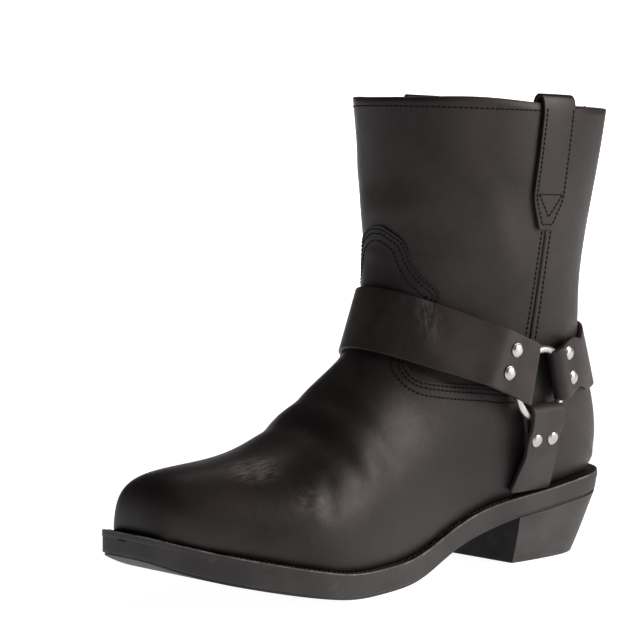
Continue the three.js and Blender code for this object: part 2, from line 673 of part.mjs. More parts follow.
// A strap as stations of inner points, given its thickness away from the boot
function strapSolid(rows, thick, levelEnd = false) {
  const levels = rows.map((row, i) => {
    const next = rows[Math.min(i + 1, rows.length - 1)];
    const back = rows[Math.max(i - 1, 0)];
    const outer = row.map((point, k) => {
      const along = next[k].point.clone().sub(back[k].point);
      const a = row[Math.max(0, k - 1)].point;
      const b = row[Math.min(row.length - 1, k + 1)].point;
      const normal = along.cross(b.clone().sub(a)).normalize();
      if (normal.dot(point.away) < 0) normal.negate();
      if (levelEnd && i === rows.length - 1) normal.copy(point.away);
      return point.point.clone().addScaledVector(normal, thick(i));
    });
    return [...row.map((p) => p.point), ...outer.reverse()];
  });
  return stack(levels, false);
}

// Rays are laid on the boot, then pulled taut between stations and across the width
function drape(rays, first, last, clearance) {
  const grid = rays.map((row) => row.map(({ origin, away }) => ({
    origin, away, far: reach(origin, away) + clearance,
  })));
  const at = (cell) => cell.origin.clone().addScaledVector(cell.away, cell.far);
  const fixed = (row) => row.map(({ point, away }) => ({ origin: point, away, far: 0 }));
  const all = [...first.map(fixed), ...grid, ...last.map(fixed)];
  const lift = (cell, a, b) => {
    const middle = at(a).add(at(b)).multiplyScalar(0.5);
    cell.far = Math.max(cell.far, middle.sub(cell.origin).dot(cell.away));
  };
  for (let round = 0; round < 60; round += 1) {
    for (let i = first.length; i < all.length - last.length; i += 1) {
      all[i].forEach((cell, k) => {
        lift(cell, all[i - 1][k], all[i + 1][k]);
        if (k > 0 && k < all[i].length - 1) lift(cell, all[i][k - 1], all[i][k + 1]);
      });
    }
  }
  return all.map((row) => row.map((cell) => ({ point: at(cell), away: cell.away })));
}

// One ankle's ring: its centre, and its outward, upward and forward directions
const WIRE_ROOM = RING_WIRE / 2 + GAP;
function ringFrame(side) {
  const lean = THREE.MathUtils.degToRad(RING_LEAN);
  const turn = THREE.MathUtils.degToRad(RING_TURN);
  const fore = new THREE.Vector3(Math.cos(turn), side * Math.sin(turn), 0);
  const level = new THREE.Vector3(-Math.sin(turn), side * Math.cos(turn), 0);
  const out = level.clone().multiplyScalar(Math.cos(lean)).addScaledVector(Z, -Math.sin(lean));
  const up = level.clone().multiplyScalar(Math.sin(lean)).addScaledVector(Z, Math.cos(lean));
  const start = new THREE.Vector3(RING_BACK, 0, RING_HEIGHT);
  const y = reach(start, new THREE.Vector3(0, side, 0)) + RING_STAND + STRAP_THICKNESS + WIRE_ROOM;
  return { side, out, up, fore, centre: new THREE.Vector3(RING_BACK, side * y, RING_HEIGHT) };
}

function ringGeometry(frame, room) {
  const sides = 8;
  const profile = Array.from({ length: sides + 1 }, (_, i) => {
    const angle = 2 * Math.PI * (i % sides) / sides;
    const wire = RING_WIRE / 2 + room;
    const centre = (RING_DIAMETER - RING_WIRE) / 2;
    return new THREE.Vector2(centre + wire * Math.cos(angle), wire * Math.sin(angle));
  });
  const lathe = new THREE.LatheGeometry(profile, 20);
  const axes = [frame.fore, frame.out, frame.fore.clone().cross(frame.out)];
  lathe.applyMatrix4(new THREE.Matrix4().makeBasis(...axes).setPosition(frame.centre));
  const position = lathe.getAttribute('position');
  const points = Array.from({ length: position.count }, (_, i) => {
    return new THREE.Vector3().fromBufferAttribute(position, i);
  });
  return solid(points, Array.from(lathe.index.array));
}

// Direction of a strap in the ring's plane, and the direction across its width
function strapAxes(frame, ahead, slope) {
  const angle = THREE.MathUtils.degToRad(slope);
  const { fore, up } = frame;
  const along = fore.clone().multiplyScalar(ahead * Math.cos(angle)).addScaledVector(up, Math.sin(angle));
  const across = fore.clone().multiplyScalar(-ahead * Math.sin(angle)).addScaledVector(up, Math.cos(angle));
  return { along, across };
}

const FOLD_DEPTH = WIRE_ROOM + STRAP_THICKNESS;
const FOLD_INNER = -FOLD_DEPTH;

// The folded end of a strap round the ring's wire, seen along the strap's width
function foldGeometry(frame, axes, from, until, rivet, width, shift) {
  const doubled = FOLD_INNER + 2 * STRAP_THICKNESS;
  const shape = new THREE.Shape();
  shape.moveTo(until, FOLD_INNER);
  shape.lineTo(from + 2.5, FOLD_INNER);
  shape.quadraticCurveTo(from, FOLD_INNER, from, FOLD_INNER + 3);
  shape.lineTo(from, FOLD_DEPTH - 3);
  shape.quadraticCurveTo(from, FOLD_DEPTH, from + 2.5, FOLD_DEPTH);
  shape.lineTo(rivet - 5.5, FOLD_DEPTH - 0.1);
  shape.lineTo(rivet + 4.5, doubled + 0.9);
  shape.lineTo(until, doubled);
  const origin = frame.centre.clone().addScaledVector(axes.across, shift - width / 2);
  return extruded(shape, width, origin, [axes.along, frame.out, axes.across], 3);
}

// Corner points of a strap's inner face where it leaves its fold
function foldRow(frame, axes, at, width, shift, count) {
  return Array.from({ length: count }, (_, k) => {
    const across = shift + width * (k / (count - 1) - 0.5);
    const point = frame.centre.clone()
      .addScaledVector(axes.along, at)
      .addScaledVector(axes.across, across)
      .addScaledVector(frame.out, FOLD_INNER);
    return { point, away: frame.out.clone() };
  });
}

// Place and slope of the straps' folds, measured from the ring's centre
const FOLDS = {
  instep: { from: 6, rivet: 27.5, until: 36, rivetShift: 2.8, spacing: 1.0 },
  heel: { from: 11, rivet: 23, until: 31, rivetShift: 1.0, spacing: 1.12 },
  arch: { from: 11.4, rivet: 28.8, until: 37, rivetShift: -3.2, spacing: 1.0 },
};
const ACROSS = 4;

// A strap that runs from ring to ring round the front or the back of the boot
function roundStrap(kind, ahead, slope, foldSlope, clearance, steps) {
  const fold = FOLDS[kind];
  const frames = [ringFrame(1), ringFrame(-1)];
  const tilt = THREE.MathUtils.degToRad(slope);
  const along = new THREE.Vector3(ahead * Math.cos(tilt), 0, Math.sin(tilt));
  const across = new THREE.Vector3(-ahead * Math.sin(tilt), 0, Math.cos(tilt));
  const hub = new THREE.Vector3(RING_BACK, 0, RING_HEIGHT).addScaledVector(along, 6);
  const start = THREE.MathUtils.degToRad(52);
  const rays = Array.from({ length: steps + 1 }, (_, i) => {
    const angle = start * (1 - 2 * i / steps);
    const away = along.clone().multiplyScalar(Math.cos(angle)).addScaledVector(Y, Math.sin(angle));
    const release = Math.min(1, (steps / 2 - Math.abs(i - steps / 2)) / 3);
    const width = FOLD_WIDTH + (STRAP_WIDTH - FOLD_WIDTH) * release;
    return Array.from({ length: ACROSS + 1 }, (__, k) => ({
      origin: hub.clone().addScaledVector(across, width * (k / ACROSS - 0.5)),
      away,
    }));
  });
  const ends = frames.map((frame) => {
    const axes = strapAxes(frame, ahead, foldSlope);
    const rows = [fold.until - 7, fold.until].map((at) => {
      return foldRow(frame, axes, at, FOLD_WIDTH, 0, ACROSS + 1);
    });
    return { frame, axes, rows };
  });
  const stationRows = drape(rays, ends[0].rows, ends[1].rows.slice().reverse(), clearance);
  const last = stationRows.length - 1;
  const thick = (i) => {
    const gone = Math.min(1, Math.max(0, Math.min(i, last - i) - 1) / 3);
    return STRAP_THICKNESS * (2 - gone);
  };
  let whole = toManifold(strapSolid(stationRows, thick));
  ends.forEach(({ frame, axes }) => {
    const piece = foldGeometry(frame, axes, fold.from, fold.until, fold.rivet, FOLD_WIDTH, 0);
    whole = whole.add(toManifold(piece)).subtract(toManifold(ringGeometry(frame, GAP)));
  });
  return fromManifold(whole);
}

// A strap that hangs from a ring down to the welt in front of the heel
function archStrap(side) {
  const fold = FOLDS.arch;
  const frame = ringFrame(side);
  const axes = { along: frame.up.clone().negate(), across: frame.fore.clone() };
  const top = frame.centre.clone().addScaledVector(axes.along, fold.until).z;
  const steps = 6;
  const rowAt = (share) => {
    const width = ARCH_FOLD_WIDTH + (ARCH_STRAP_FOOT - ARCH_FOLD_WIDTH) * share;
    const middle = RING_BACK + ARCH_FOLD_SHIFT + (ARCH_FOOT_BACK - RING_BACK - ARCH_FOLD_SHIFT) * share;
    return Array.from({ length: ACROSS + 1 }, (_, k) => middle + width * (k / ACROSS - 0.5));
  };
  const rays = [];
  for (let i = 1; i <= steps; i += 1) {
    const share = i / steps;
    rays.push(rowAt(share).map((x) => {
      const foot = seatZ(x) + REST + GAP;
      const z = top + (foot - top) * share;
      return { origin: new THREE.Vector3(x, 0, z), away: new THREE.Vector3(0, side, 0) };
    }));
  }
  const first = [fold.until - 7, fold.until].map((at) => {
    return foldRow(frame, axes, at, ARCH_FOLD_WIDTH, ARCH_FOLD_SHIFT, ACROSS + 1);
  });
  const clear = OVERLAY + 2 * GAP;
  const footRow = rays[rays.length - 1].map(({ origin, away }) => ({
    point: origin.clone().addScaledVector(away, reach(origin.clone().setZ(origin.z + 1), away) + clear),
    away,
  }));
  const stationRows = drape(rays.slice(0, -1), first, [footRow], clear);
  const thick = (i) => STRAP_THICKNESS * (2 - Math.min(1, Math.max(0, i - 1) / 2));
  const band = toManifold(strapSolid(stationRows, thick, true));
  const width = ARCH_FOLD_WIDTH;
  const piece = foldGeometry(frame, axes, fold.from, fold.until, fold.rivet, width, ARCH_FOLD_SHIFT);
  const whole = band.add(toManifold(piece)).subtract(toManifold(ringGeometry(frame, GAP)));
  return fromManifold(whole);
}

// A domed rivet head on the sloping outer face of a fold
function rivetGeometry(frame, axes, fold, across) {
  const radius = RIVET_DIAMETER / 2;
  const profile = [
    new THREE.Vector2(0, 0),
    new THREE.Vector2(radius, 0),
    new THREE.Vector2(radius * 0.8, RIVET_HEIGHT * 0.75),
    new THREE.Vector2(0, RIVET_HEIGHT),
  ];
  const drop = FOLD_DEPTH - 0.1 - (FOLD_INNER + 2 * STRAP_THICKNESS + 0.9);
  const slope = Math.atan2(drop, 10);
  const normal = frame.out.clone().multiplyScalar(Math.cos(slope)).addScaledVector(axes.along, Math.sin(slope));
  const height = FOLD_DEPTH - 0.1 - drop * 0.55;
  const centre = frame.centre.clone()
    .addScaledVector(axes.along, fold.rivet)
    .addScaledVector(axes.across, across)
    .addScaledVector(frame.out, height)
    .addScaledVector(normal, GAP);
  const lathe = new THREE.LatheGeometry(profile, 12);
  const level = normal.clone().cross(axes.across).normalize();
  lathe.applyMatrix4(new THREE.Matrix4().makeBasis(level, normal, level.clone().cross(normal)).setPosition(centre));
  const position = lathe.getAttribute('position');
  const points = Array.from({ length: position.count }, (_, i) => {
    return new THREE.Vector3().fromBufferAttribute(position, i);
  });
  return solid(points, Array.from(lathe.index.array));
}

// Height of the collar's edge, and the place of the side seam, at one height
function collarZ(x) {
  const front = SHAFT[SHAFT.length - 1].front * SHAFT_LENGTH;
  const back = SHAFT[SHAFT.length - 1].back * SHAFT_LENGTH;
  return BOOT_HEIGHT - COLLAR_DROP * (front - x) / (front - back);
}
const seamX = (z) => SEAM_TOP_BACK + SEAM_SLOPE * (BOOT_HEIGHT - z);

// A narrow raised cord down the side of the shaft
function seamCord(side) {
  const top = collarZ(SEAM_TOP_BACK) - PULL_LENGTH - GAP - 2;
  const steps = 9;
  const rows = Array.from({ length: steps + 1 }, (_, i) => {
    const z = SEAM_LOW + (top - SEAM_LOW) * i / steps;
    return [-0.5, 0, 0.5].map((share) => {
      const origin = new THREE.Vector3(seamX(z) + share * SEAM_CORD, 0, z);
      const away = new THREE.Vector3(0, side, 0);
      const far = reach(origin, away) + GAP;
      return { point: origin.clone().addScaledVector(away, far), away };
    });
  });
  return strapSolid(rows, () => SEAM_HEIGHT);
}

// A pull loop: up the outside of the shaft, over the collar and down the inside
function pullLoop(side) {
  const outside = [-1, -0.93, -0.86, -0.75, -0.5, -0.25, -0.02].map((share) => share * PULL_LENGTH);
  const inside = [-0.03, -0.35, -0.7, -1].map((share) => share * PULL_INSIDE);
  const rows = [];
  const away = new THREE.Vector3(0, side, 0);
  const cellAt = (x, z, reachZ, fall, face) => {
    const far = reach(new THREE.Vector3(x, 0, reachZ), away) + fall;
    return { point: new THREE.Vector3(x, side * far, z), away: face };
  };
  const row = (drop, rise, fall, face, width) => {
    rows.push([-0.5, -0.25, 0, 0.25, 0.5].map((share) => {
      const middle = seamX(BOOT_HEIGHT + drop);
      const x = middle + share * width;
      const rim = collarZ(x);
      return cellAt(x, rim + drop + rise, rim + Math.min(drop, -1.5), fall, face);
    }));
  };
  outside.forEach((drop) => {
    const share = Math.min(1, (drop + PULL_LENGTH) / PULL_TAPER);
    row(drop, 0, GAP + 0.1, away, PULL_TIP + (PULL_WIDTH - PULL_TIP) * Math.min(1, share));
  });
  const middle = -WALL / 2;
  const half = WALL / 2 + GAP + 0.1;
  [0.15, 0.35, 0.5, 0.65, 0.85].forEach((share) => {
    const angle = Math.PI * share;
    const face = away.clone().multiplyScalar(Math.cos(angle)).addScaledVector(Z, Math.sin(angle));
    row(0, PULL_RISE * Math.sin(angle), middle + half * Math.cos(angle), face, PULL_WIDTH);
  });
  inside.forEach((drop) => row(drop, 0, -WALL - GAP - 0.4, away.clone().negate(), PULL_WIDTH));
  return strapSolid(rows, () => PULL_THICKNESS);
}

const group = new THREE.Group();

function addPiece(name, geometry, material) {
  const mesh = new THREE.Mesh(geometry, material);
  mesh.name = name;
  group.add(mesh);
}

addPiece('outsole', outsoleGeometry(), rubber);
addPiece('welt', weltGeometry(), rubber);
addPiece('heel', heelGeometry(), rubber);
addPiece('insole', insoleGeometry(), lining);
addPiece('upper', upperGeometry(), leather);
addPiece('vamp', vampGeometry(), leather);
const OVER_VAMP = OVERLAY + 3 * GAP + REST;
const instep = roundStrap('instep', 1, INSTEP_STRAP_SLOPE, INSTEP_STRAP_SLOPE, OVER_VAMP, 20);
addPiece('instep_strap', instep, leather);
addPiece('heel_strap', roundStrap('heel', -1, HEEL_STRAP_SLOPE, HEEL_FOLD_SLOPE, REST + GAP, 14), leather);
[['outer', 1], ['inner', -1]].forEach(([word, side]) => {
  const frame = ringFrame(side);
  addPiece(`ring_${word}`, ringGeometry(frame, 0), nickel);
  addPiece(`arch_strap_${word}`, archStrap(side), leather);
  addPiece(`side_seam_${word}`, seamCord(side), leather);
  addPiece(`pull_loop_${word}`, pullLoop(side), leather);
  const straps = {
    instep: strapAxes(frame, 1, INSTEP_STRAP_SLOPE),
    heel: strapAxes(frame, -1, HEEL_FOLD_SLOPE),
    arch: { along: frame.up.clone().negate(), across: frame.fore.clone() },
  };
  Object.entries(straps).forEach(([kind, axes]) => {
    const fold = FOLDS[kind];
    [-0.5, 0.5].forEach((share, i) => {
      const across = fold.rivetShift + share * RIVET_SPACING * fold.spacing;
      addPiece(`rivet_${kind}_${word}_${i + 1}`, rivetGeometry(frame, axes, fold, across), nickel);
    });
  });
});

// The origin lies under the middle of the whole boot, on the floor
const bounds = new THREE.Box3().setFromObject(group);
const middle = bounds.getCenter(new THREE.Vector3());
group.position.set(-middle.x, -middle.y, 0);

export default group;
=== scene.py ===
import math

import bpy
import numpy as np
from mathutils import Matrix, Vector
from mathutils.bvhtree import BVHTree


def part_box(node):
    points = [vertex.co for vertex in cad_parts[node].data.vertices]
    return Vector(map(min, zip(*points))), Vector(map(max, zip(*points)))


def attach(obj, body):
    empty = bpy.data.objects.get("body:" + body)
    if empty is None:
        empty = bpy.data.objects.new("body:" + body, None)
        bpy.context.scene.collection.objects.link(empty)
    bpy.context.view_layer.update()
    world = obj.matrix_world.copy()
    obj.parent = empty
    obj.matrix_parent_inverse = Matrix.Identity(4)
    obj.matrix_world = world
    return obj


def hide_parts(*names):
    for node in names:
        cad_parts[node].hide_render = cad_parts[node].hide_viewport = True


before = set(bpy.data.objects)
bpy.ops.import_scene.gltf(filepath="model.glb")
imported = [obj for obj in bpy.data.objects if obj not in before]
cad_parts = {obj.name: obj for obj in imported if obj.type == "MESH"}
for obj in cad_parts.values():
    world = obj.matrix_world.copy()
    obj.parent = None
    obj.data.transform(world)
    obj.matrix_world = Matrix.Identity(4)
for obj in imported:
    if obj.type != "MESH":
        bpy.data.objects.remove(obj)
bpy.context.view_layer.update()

bpy.ops.object.select_all(action="DESELECT")


# Upper: the one-piece leather body of the boot, lasted over the foot and up the shaft. It is
# oiled black cowhide about 2 mm thick, lined with thin dark leather inside, and sewn to the welt.
MM = 0.001
HEEL_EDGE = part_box("outsole")[0].x
LEATHER_DARK = (0.0104, 0.0083, 0.0079)
LEATHER_LIGHT = (0.0260, 0.0214, 0.0206)
LINING_TONE = (0.020, 0.014, 0.011)


def place(x, y, z):
    """A point given in millimetres from the heel's back edge, the middle and the floor."""
    return Vector((HEEL_EDGE + x * MM, y * MM, z * MM))


class Field:
    """A shader socket that takes part in Python expressions."""

    def __init__(self, tree, socket):
        self.tree = tree
        self.socket = socket

    def maths(self, operation, *others, clamp=False):
        node = self.tree.nodes.new("ShaderNodeMath")
        node.operation = operation
        node.use_clamp = clamp
        for slot, value in zip(node.inputs, (self, *others)):
            feed(self.tree, slot, value)
        return Field(self.tree, node.outputs[0])

    def __add__(self, other):
        return self.maths("ADD", other)

    __radd__ = __add__

    def __mul__(self, other):
        return self.maths("MULTIPLY", other)

    __rmul__ = __mul__

    def __sub__(self, other):
        return self.maths("SUBTRACT", other)

    def __rsub__(self, other):
        return (self * -1) + other

    def between(self, low, high):
        """0 below low and 1 above high, with a soft step between them."""
        node = self.tree.nodes.new("ShaderNodeMapRange")
        node.interpolation_type = "SMOOTHSTEP"
        feed(self.tree, node.inputs["Value"], self)
        node.inputs["From Min"].default_value = low
        node.inputs["From Max"].default_value = high
        return Field(self.tree, node.outputs[0])


def feed(tree, slot, value):
    """Links a field to a socket, or sets the socket to a plain value."""
    if isinstance(value, Field):
        tree.links.new(value.socket, slot)
    elif isinstance(value, (tuple, list)) and len(value) == 3 and slot.type == "RGBA":
        slot.default_value = (*value, 1)
    else:
        slot.default_value = value


class Finish:
    """A material whose nodes are made one by one from their type, settings and sockets."""

    def __init__(self, name):
        self.material = bpy.data.materials.new(name)
        self.material.use_nodes = True
        self.tree = self.material.node_tree
        self.tree.nodes.clear()
        self.output = self.tree.nodes.new("ShaderNodeOutputMaterial")
        self.spot = self.node("ShaderNodeTexCoord", out="Object")

    def node(self, kind, settings=None, sockets=None, out=0):
        node = self.tree.nodes.new(kind)
        for key, value in (settings or {}).items():
            setattr(node, key, value)
        for key, value in (sockets or {}).items():
            feed(self.tree, node.inputs[key], value)
        return Field(self.tree, node.outputs[out])

    def noise(self, size, detail=3, roughness=0.55, spot=None):
        """Soft random cells of about the given size in metres."""
        values = {"Vector": spot or self.spot, "Scale": 1 / size, "Detail": detail, "Roughness": roughness}
        return self.node("ShaderNodeTexNoise", sockets=values)

    def blend(self, share, low, high):
        """A colour between two colours."""
        sockets = {0: share, 6: (*low, 1) if isinstance(low, tuple) else low}
        sockets[7] = (*high, 1) if isinstance(high, tuple) else high
        return self.node("ShaderNodeMix", {"data_type": "RGBA"}, sockets, out=2)

    def stretched(self, scale):
        """The place on the piece, scaled in each direction."""
        return self.node("ShaderNodeMapping", {"vector_type": "POINT"}, {"Vector": self.spot, "Scale": scale})

    def near(self, centre, reach):
        """1 at a place and 0 beyond its reach in each direction."""
        away = self.node("ShaderNodeVectorMath", {"operation": "SUBTRACT"}, {0: self.spot, 1: tuple(centre)})
        share = self.node("ShaderNodeVectorMath", {"operation": "DIVIDE"}, {0: away, 1: reach})
        length = self.node("ShaderNodeVectorMath", {"operation": "LENGTH"}, {0: share}, out=1)
        return 1 - length.between(0.2, 1.0)

    def coordinate(self, axis):
        return self.node("ShaderNodeSeparateXYZ", sockets={"Vector": self.spot}, out=axis)

    def bump(self, height, depth, strength=1.0, below=None):
        sockets = {"Height": height, "Distance": depth, "Strength": strength}
        if below is not None:
            sockets["Normal"] = below
        return self.node("ShaderNodeBump", sockets=sockets)

    def close(self, **sockets):
        """Ends the material with its surface shader."""
        named = {key.replace("_", " "): value for key, value in sockets.items()}
        shader = self.node("ShaderNodeBsdfPrincipled", sockets=named)
        feed(self.tree, self.output.inputs["Surface"], shader)
        return self.material


def oiled_leather(name, dark, light, gloss, grain, marks=()):
    """Oiled black cowhide: cloudy colour, fine grain, a soft wide sheen, dusty scuffs and marks."""
    skin = Finish(name)
    cloud = skin.noise(0.055, detail=4)
    fine = skin.noise(0.0011, detail=2)
    pores = skin.noise(0.00042, detail=1)
    rub = skin.noise(0.021, detail=6, roughness=0.68).between(0.60, 0.78)
    colour = skin.blend(cloud.between(0.36, 0.66), dark, light)
    colour = skin.blend(rub * 0.30, colour, (0.062, 0.056, 0.054))
    smear = skin.noise(0.009, detail=5, roughness=0.7)
    colour = skin.blend(smear.between(0.50, 0.72) * 0.30, colour, light)
    rough = gloss + (cloud - 0.5) * 0.20 + rub * 0.06 + (smear - 0.5) * 0.18 + (fine - 0.5) * 0.10
    # Given marks: streaked patches of colour, some of them painted highlights and some rubbed wear
    for centre, reach, stretch, tone in marks:
        drawn = skin.stretched(stretch)
        streaks = skin.noise(1.0, detail=5, roughness=0.7, spot=drawn).between(0.38, 0.66)
        colour = skin.blend(skin.near(centre, reach) * streaks, colour, tone)
    relief = skin.bump(fine + pores * 0.5, grain * 0.00010, 0.55)
    relief = skin.bump(skin.noise(0.007, detail=3), 0.00035, 0.35, below=relief)
    return skin.close(Base_Color=colour, Roughness=rough, Normal=relief, Specular_IOR_Level=0.29)


UPPER_LEATHER = oiled_leather("upper_leather", LEATHER_DARK, LEATHER_LIGHT, 0.47, 1.0)


def lining_leather():
    """Thin dark brown lining with a suede-like surface."""
    skin = Finish("lining_leather")
    cloud = skin.noise(0.02, detail=4)
    colour = skin.blend(cloud.between(0.3, 0.7), LINING_TONE, (0.034, 0.025, 0.020))
    relief = skin.bump(skin.noise(0.0008, detail=2), 0.00012, 0.6)
    return skin.close(Base_Color=colour, Roughness=0.72 + cloud * 0.1, Normal=relief)


LINING = lining_leather()


def copy_of(node, name):
    """A merged copy of a CAD node, with its triangles joined in pairs."""
    piece = bpy.data.objects.new(name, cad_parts[node].data.copy())
    piece.data.name = name
    bpy.context.scene.collection.objects.link(piece)
    piece.data.materials.clear()
    only(piece)
    bpy.ops.object.mode_set(mode="EDIT")
    bpy.ops.mesh.select_all(action="SELECT")
    bpy.ops.mesh.remove_doubles(threshold=0.02 * MM)
    bpy.ops.mesh.tris_convert_to_quads(face_threshold=math.radians(50), shape_threshold=math.radians(60))
    bpy.ops.object.mode_set(mode="OBJECT")
    return piece


def only(piece):
    """Makes one piece the selected and active one."""
    bpy.ops.object.select_all(action="DESELECT")
    piece.select_set(True)
    bpy.context.view_layer.objects.active = piece


def shade(piece, degrees):
    """Smooth shading that leaves edges sharper than an angle crisp."""
    only(piece)
    bpy.ops.object.shade_smooth_by_angle(angle=math.radians(degrees))


def dress(piece, *materials):
    """Gives a piece its materials in the order of their slots."""
    for material in materials:
        piece.data.materials.append(material)


def finish_with(piece, kind, **settings):
    """Adds one modifier and applies it."""
    only(piece)
    modifier = piece.modifiers.new(kind.lower(), kind)
    for key, value in settings.items():
        setattr(modifier, key, value)
    bpy.ops.object.modifier_apply(modifier=modifier.name)


def soften(piece, chosen, width, worn_lit_slot=-1):
    """A small bevel along the chosen edges, which may take the pale edge material: wear and painted
    highlight.
    """
    store = piece.data.attributes.new("bevel_weight_edge", "FLOAT", "EDGE")
    for edge in piece.data.edges:
        a, b = (piece.data.vertices[i].co for i in edge.vertices)
        store.data[edge.index].value = 1.0 if chosen(a, b) else 0.0
    finish_with(piece, "BEVEL", width=width, segments=2, limit_method="WEIGHT", material=worn_lit_slot)


def round_over(piece, levels):
    finish_with(piece, "SUBSURF", levels=levels, render_levels=levels)


def points_of(piece):
    found = np.zeros(len(piece.data.vertices) * 3)
    piece.data.vertices.foreach_get("co", found)
    return found.reshape(-1, 3)


def move_points(piece, points):
    piece.data.vertices.foreach_set("co", np.asarray(points, float).ravel())
    piece.data.update()


def crease_edges(piece, chosen):
    """Keeps the chosen edges crisp when the piece is rounded over."""
    store = piece.data.attributes.new("crease_edge", "FLOAT", "EDGE")
    for edge in piece.data.edges:
        a, b = (piece.data.vertices[i].co for i in edge.vertices)
        store.data[edge.index].value = chosen(a, b)


# The line that runs down the shaft and forward along the foot, inside the upper
CORE = [place(75, 0, 260), place(75, 0, 80), place(150, 0, 62), place(290, 0, 36)]


def core_point(p):
    """The point of that line nearest to a point."""
    best = None
    for a, b in zip(CORE, CORE[1:]):
        t = max(0.0, min(1.0, (p - a).dot(b - a) / (b - a).length_squared))
        q = a.lerp(b, t)
        if best is None or (p - q).length < (p - best).length:
            best = q
    return best


def cut_edge():
    """The raw cut edge of the leather: paler and matt."""
    skin = Finish("cut_leather_edge")
    cloud = skin.noise(0.004, detail=4)
    colour = skin.blend(cloud.between(0.3, 0.7), (0.034, 0.028, 0.025), (0.105, 0.092, 0.084))
    return skin.close(Base_Color=colour, Roughness=0.75, Normal=skin.bump(cloud, 0.0002, 0.4))


# Creases and swells of the leather seen from the side: which side (0 for both), the x and z in mm
# of its run, its half width and its rise in mm
CREASES = [
    (0, [(146, 184), (147, 166), (143, 149)], 12, 2.6),
    (0, [(206, 86), (200, 70), (196, 56)], 5.5, -0.8),
    (0, [(197, 92), (191, 75), (186, 60)], 5.5, 0.6),
    (0, [(187, 97), (180, 80), (173, 64)], 5.0, -0.7),
    (0, [(8, 126), (26, 121), (44, 119)], 5.0, -0.7),
    (0, [(4, 97), (1, 80), (3, 63)], 14, 1.9),
    (1, [(212, 59), (215, 52), (217.5, 43)], 2.6, -0.6),
    (1, [(220, 57), (222.5, 50), (225, 42)], 3.2, 0.4),
    (1, [(128, 212), (110, 190), (98, 166)], 9.0, 0.8),
    (1, [(112, 224), (94, 198), (90, 184)], 8.0, -0.6),
    (1, [(120, 131), (103, 139), (88, 146)], 4.0, -0.5),
    (-1, [(214, 58), (218, 46)], 2.8, -0.6),
    (-1, [(132, 206), (112, 182), (104, 160)], 9.0, 0.7),
    (-1, [(116, 132), (98, 141)], 4.0, -0.5),
]
# The collar's band and its upward bow over the shaft's side, and the heel counter's reach, in mm
COLLAR_BAND = 11
COLLAR_BOW = 2.4
BOW_MIDDLE = 114
BOW_REACH = 31
BOW_FOOT = 212
BOW_DEPTH = 28
COUNTER_END = 62
COUNTER_LOW = 44
COUNTER_HIGH = 96


def run_distance(spots, run):
    """Distance in mm from points to a run of straight parts, seen from the side."""
    best = np.full(len(spots), 1e9)
    for a, b in zip(run, run[1:]):
        span = np.subtract(b, a)
        share = np.clip((spots - a) @ span / (span @ span), 0, 1)
        best = np.minimum(best, np.linalg.norm(spots - a - share[:, None] * span, axis=1))
    return best


def crease_leather(piece):
    """Presses the creases into the outer faces and bows the collar up over the shaft's side."""
    shape = points_of(piece)
    outer = np.zeros(len(shape))
    for face in piece.data.polygons:
        if face.material_index == 0:
            outer[list(face.vertices)] = 1
    normals = np.array([tuple(vertex.normal) for vertex in piece.data.vertices])
    spots = np.column_stack(((shape[:, 0] - HEEL_EDGE) / MM, shape[:, 2] / MM))
    rise = np.zeros(len(shape))
    for side, run, width, height in CREASES:
        here = outer * (1 if side == 0 else shape[:, 1] * side > 0)
        rise += here * height * np.exp(-(run_distance(spots, run) / width) ** 2)
    along = np.exp(-((spots[:, 0] - BOW_MIDDLE) / BOW_REACH) ** 2)
    upward = np.clip((spots[:, 1] - BOW_FOOT) / BOW_DEPTH, 0, 1)
    shape += normals * rise[:, None] * MM
    shape[:, 2] += COLLAR_BOW * along * upward * MM
    move_points(piece, shape)


def smooth_counter(piece):
    """Evens the moulded heel counter."""
    only(piece)
    bpy.ops.object.mode_set(mode="EDIT")
    bpy.ops.mesh.select_all(action="DESELECT")
    bpy.ops.mesh.select_mode(type="VERT")
    bpy.ops.object.mode_set(mode="OBJECT")
    for vertex in piece.data.vertices:
        x, z = (vertex.co.x - HEEL_EDGE) / MM, vertex.co.z / MM
        vertex.select = x < COUNTER_END and COUNTER_LOW < z < COUNTER_HIGH
    bpy.ops.object.mode_set(mode="EDIT")
    bpy.ops.mesh.vertices_smooth(factor=0.5, repeat=14)
    bpy.ops.object.mode_set(mode="OBJECT")


upper = copy_of("upper", "boot_upper")
rim = max(v.co.z for v in upper.data.vertices)
for face in upper.data.polygons:
    outward = face.normal.dot(face.center - core_point(face.center)) > 0
    face.material_index = 0 if outward else 1
    if face.normal.z > 0.8 and face.center.z > rim - COLLAR_BAND * MM:
        face.material_index = 2


def along_rim(a, b):
    """0.75 for an edge that runs along the collar's rim, and 0 for any other."""
    level = min(a.z, b.z) > rim - COLLAR_BAND * MM and abs(a.z - b.z) < 4 * MM
    return 0.75 if level and (a - b).length > 4 * MM else 0.0


crease_edges(upper, along_rim)
round_over(upper, 2)
smooth_counter(upper)
crease_leather(upper)
dress(upper, UPPER_LEATHER, LINING, cut_edge())
only(upper)
bpy.ops.object.shade_smooth()
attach(upper, "root")
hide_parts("upper")


# Insole: a thin leather board inside the boot that the foot stands on. It is cut to the last's
# outline and lies loose on the sole, so only its edge and its top can be seen from the collar.
def insole_leather():
    """Dark lining leather, its polish varying at random over the board."""
    skin = Finish("insole_leather")
    cloud = skin.noise(0.018, detail=5)
    colour = skin.blend(cloud.between(0.35, 0.7), (0.016, 0.012, 0.010), (0.036, 0.028, 0.023))
    relief = skin.bump(skin.noise(0.0006, detail=2), 0.00008, 0.5)
    return skin.close(Base_Color=colour, Roughness=0.55 + cloud * 0.2, Normal=relief)


insole = copy_of("insole", "insole_board")
finish_with(insole, "BEVEL", width=0.5 * MM, segments=2, limit_method="ANGLE", angle_limit=math.radians(50))
dress(insole, insole_leather())
shade(insole, 40)
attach(insole, "root")
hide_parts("insole")


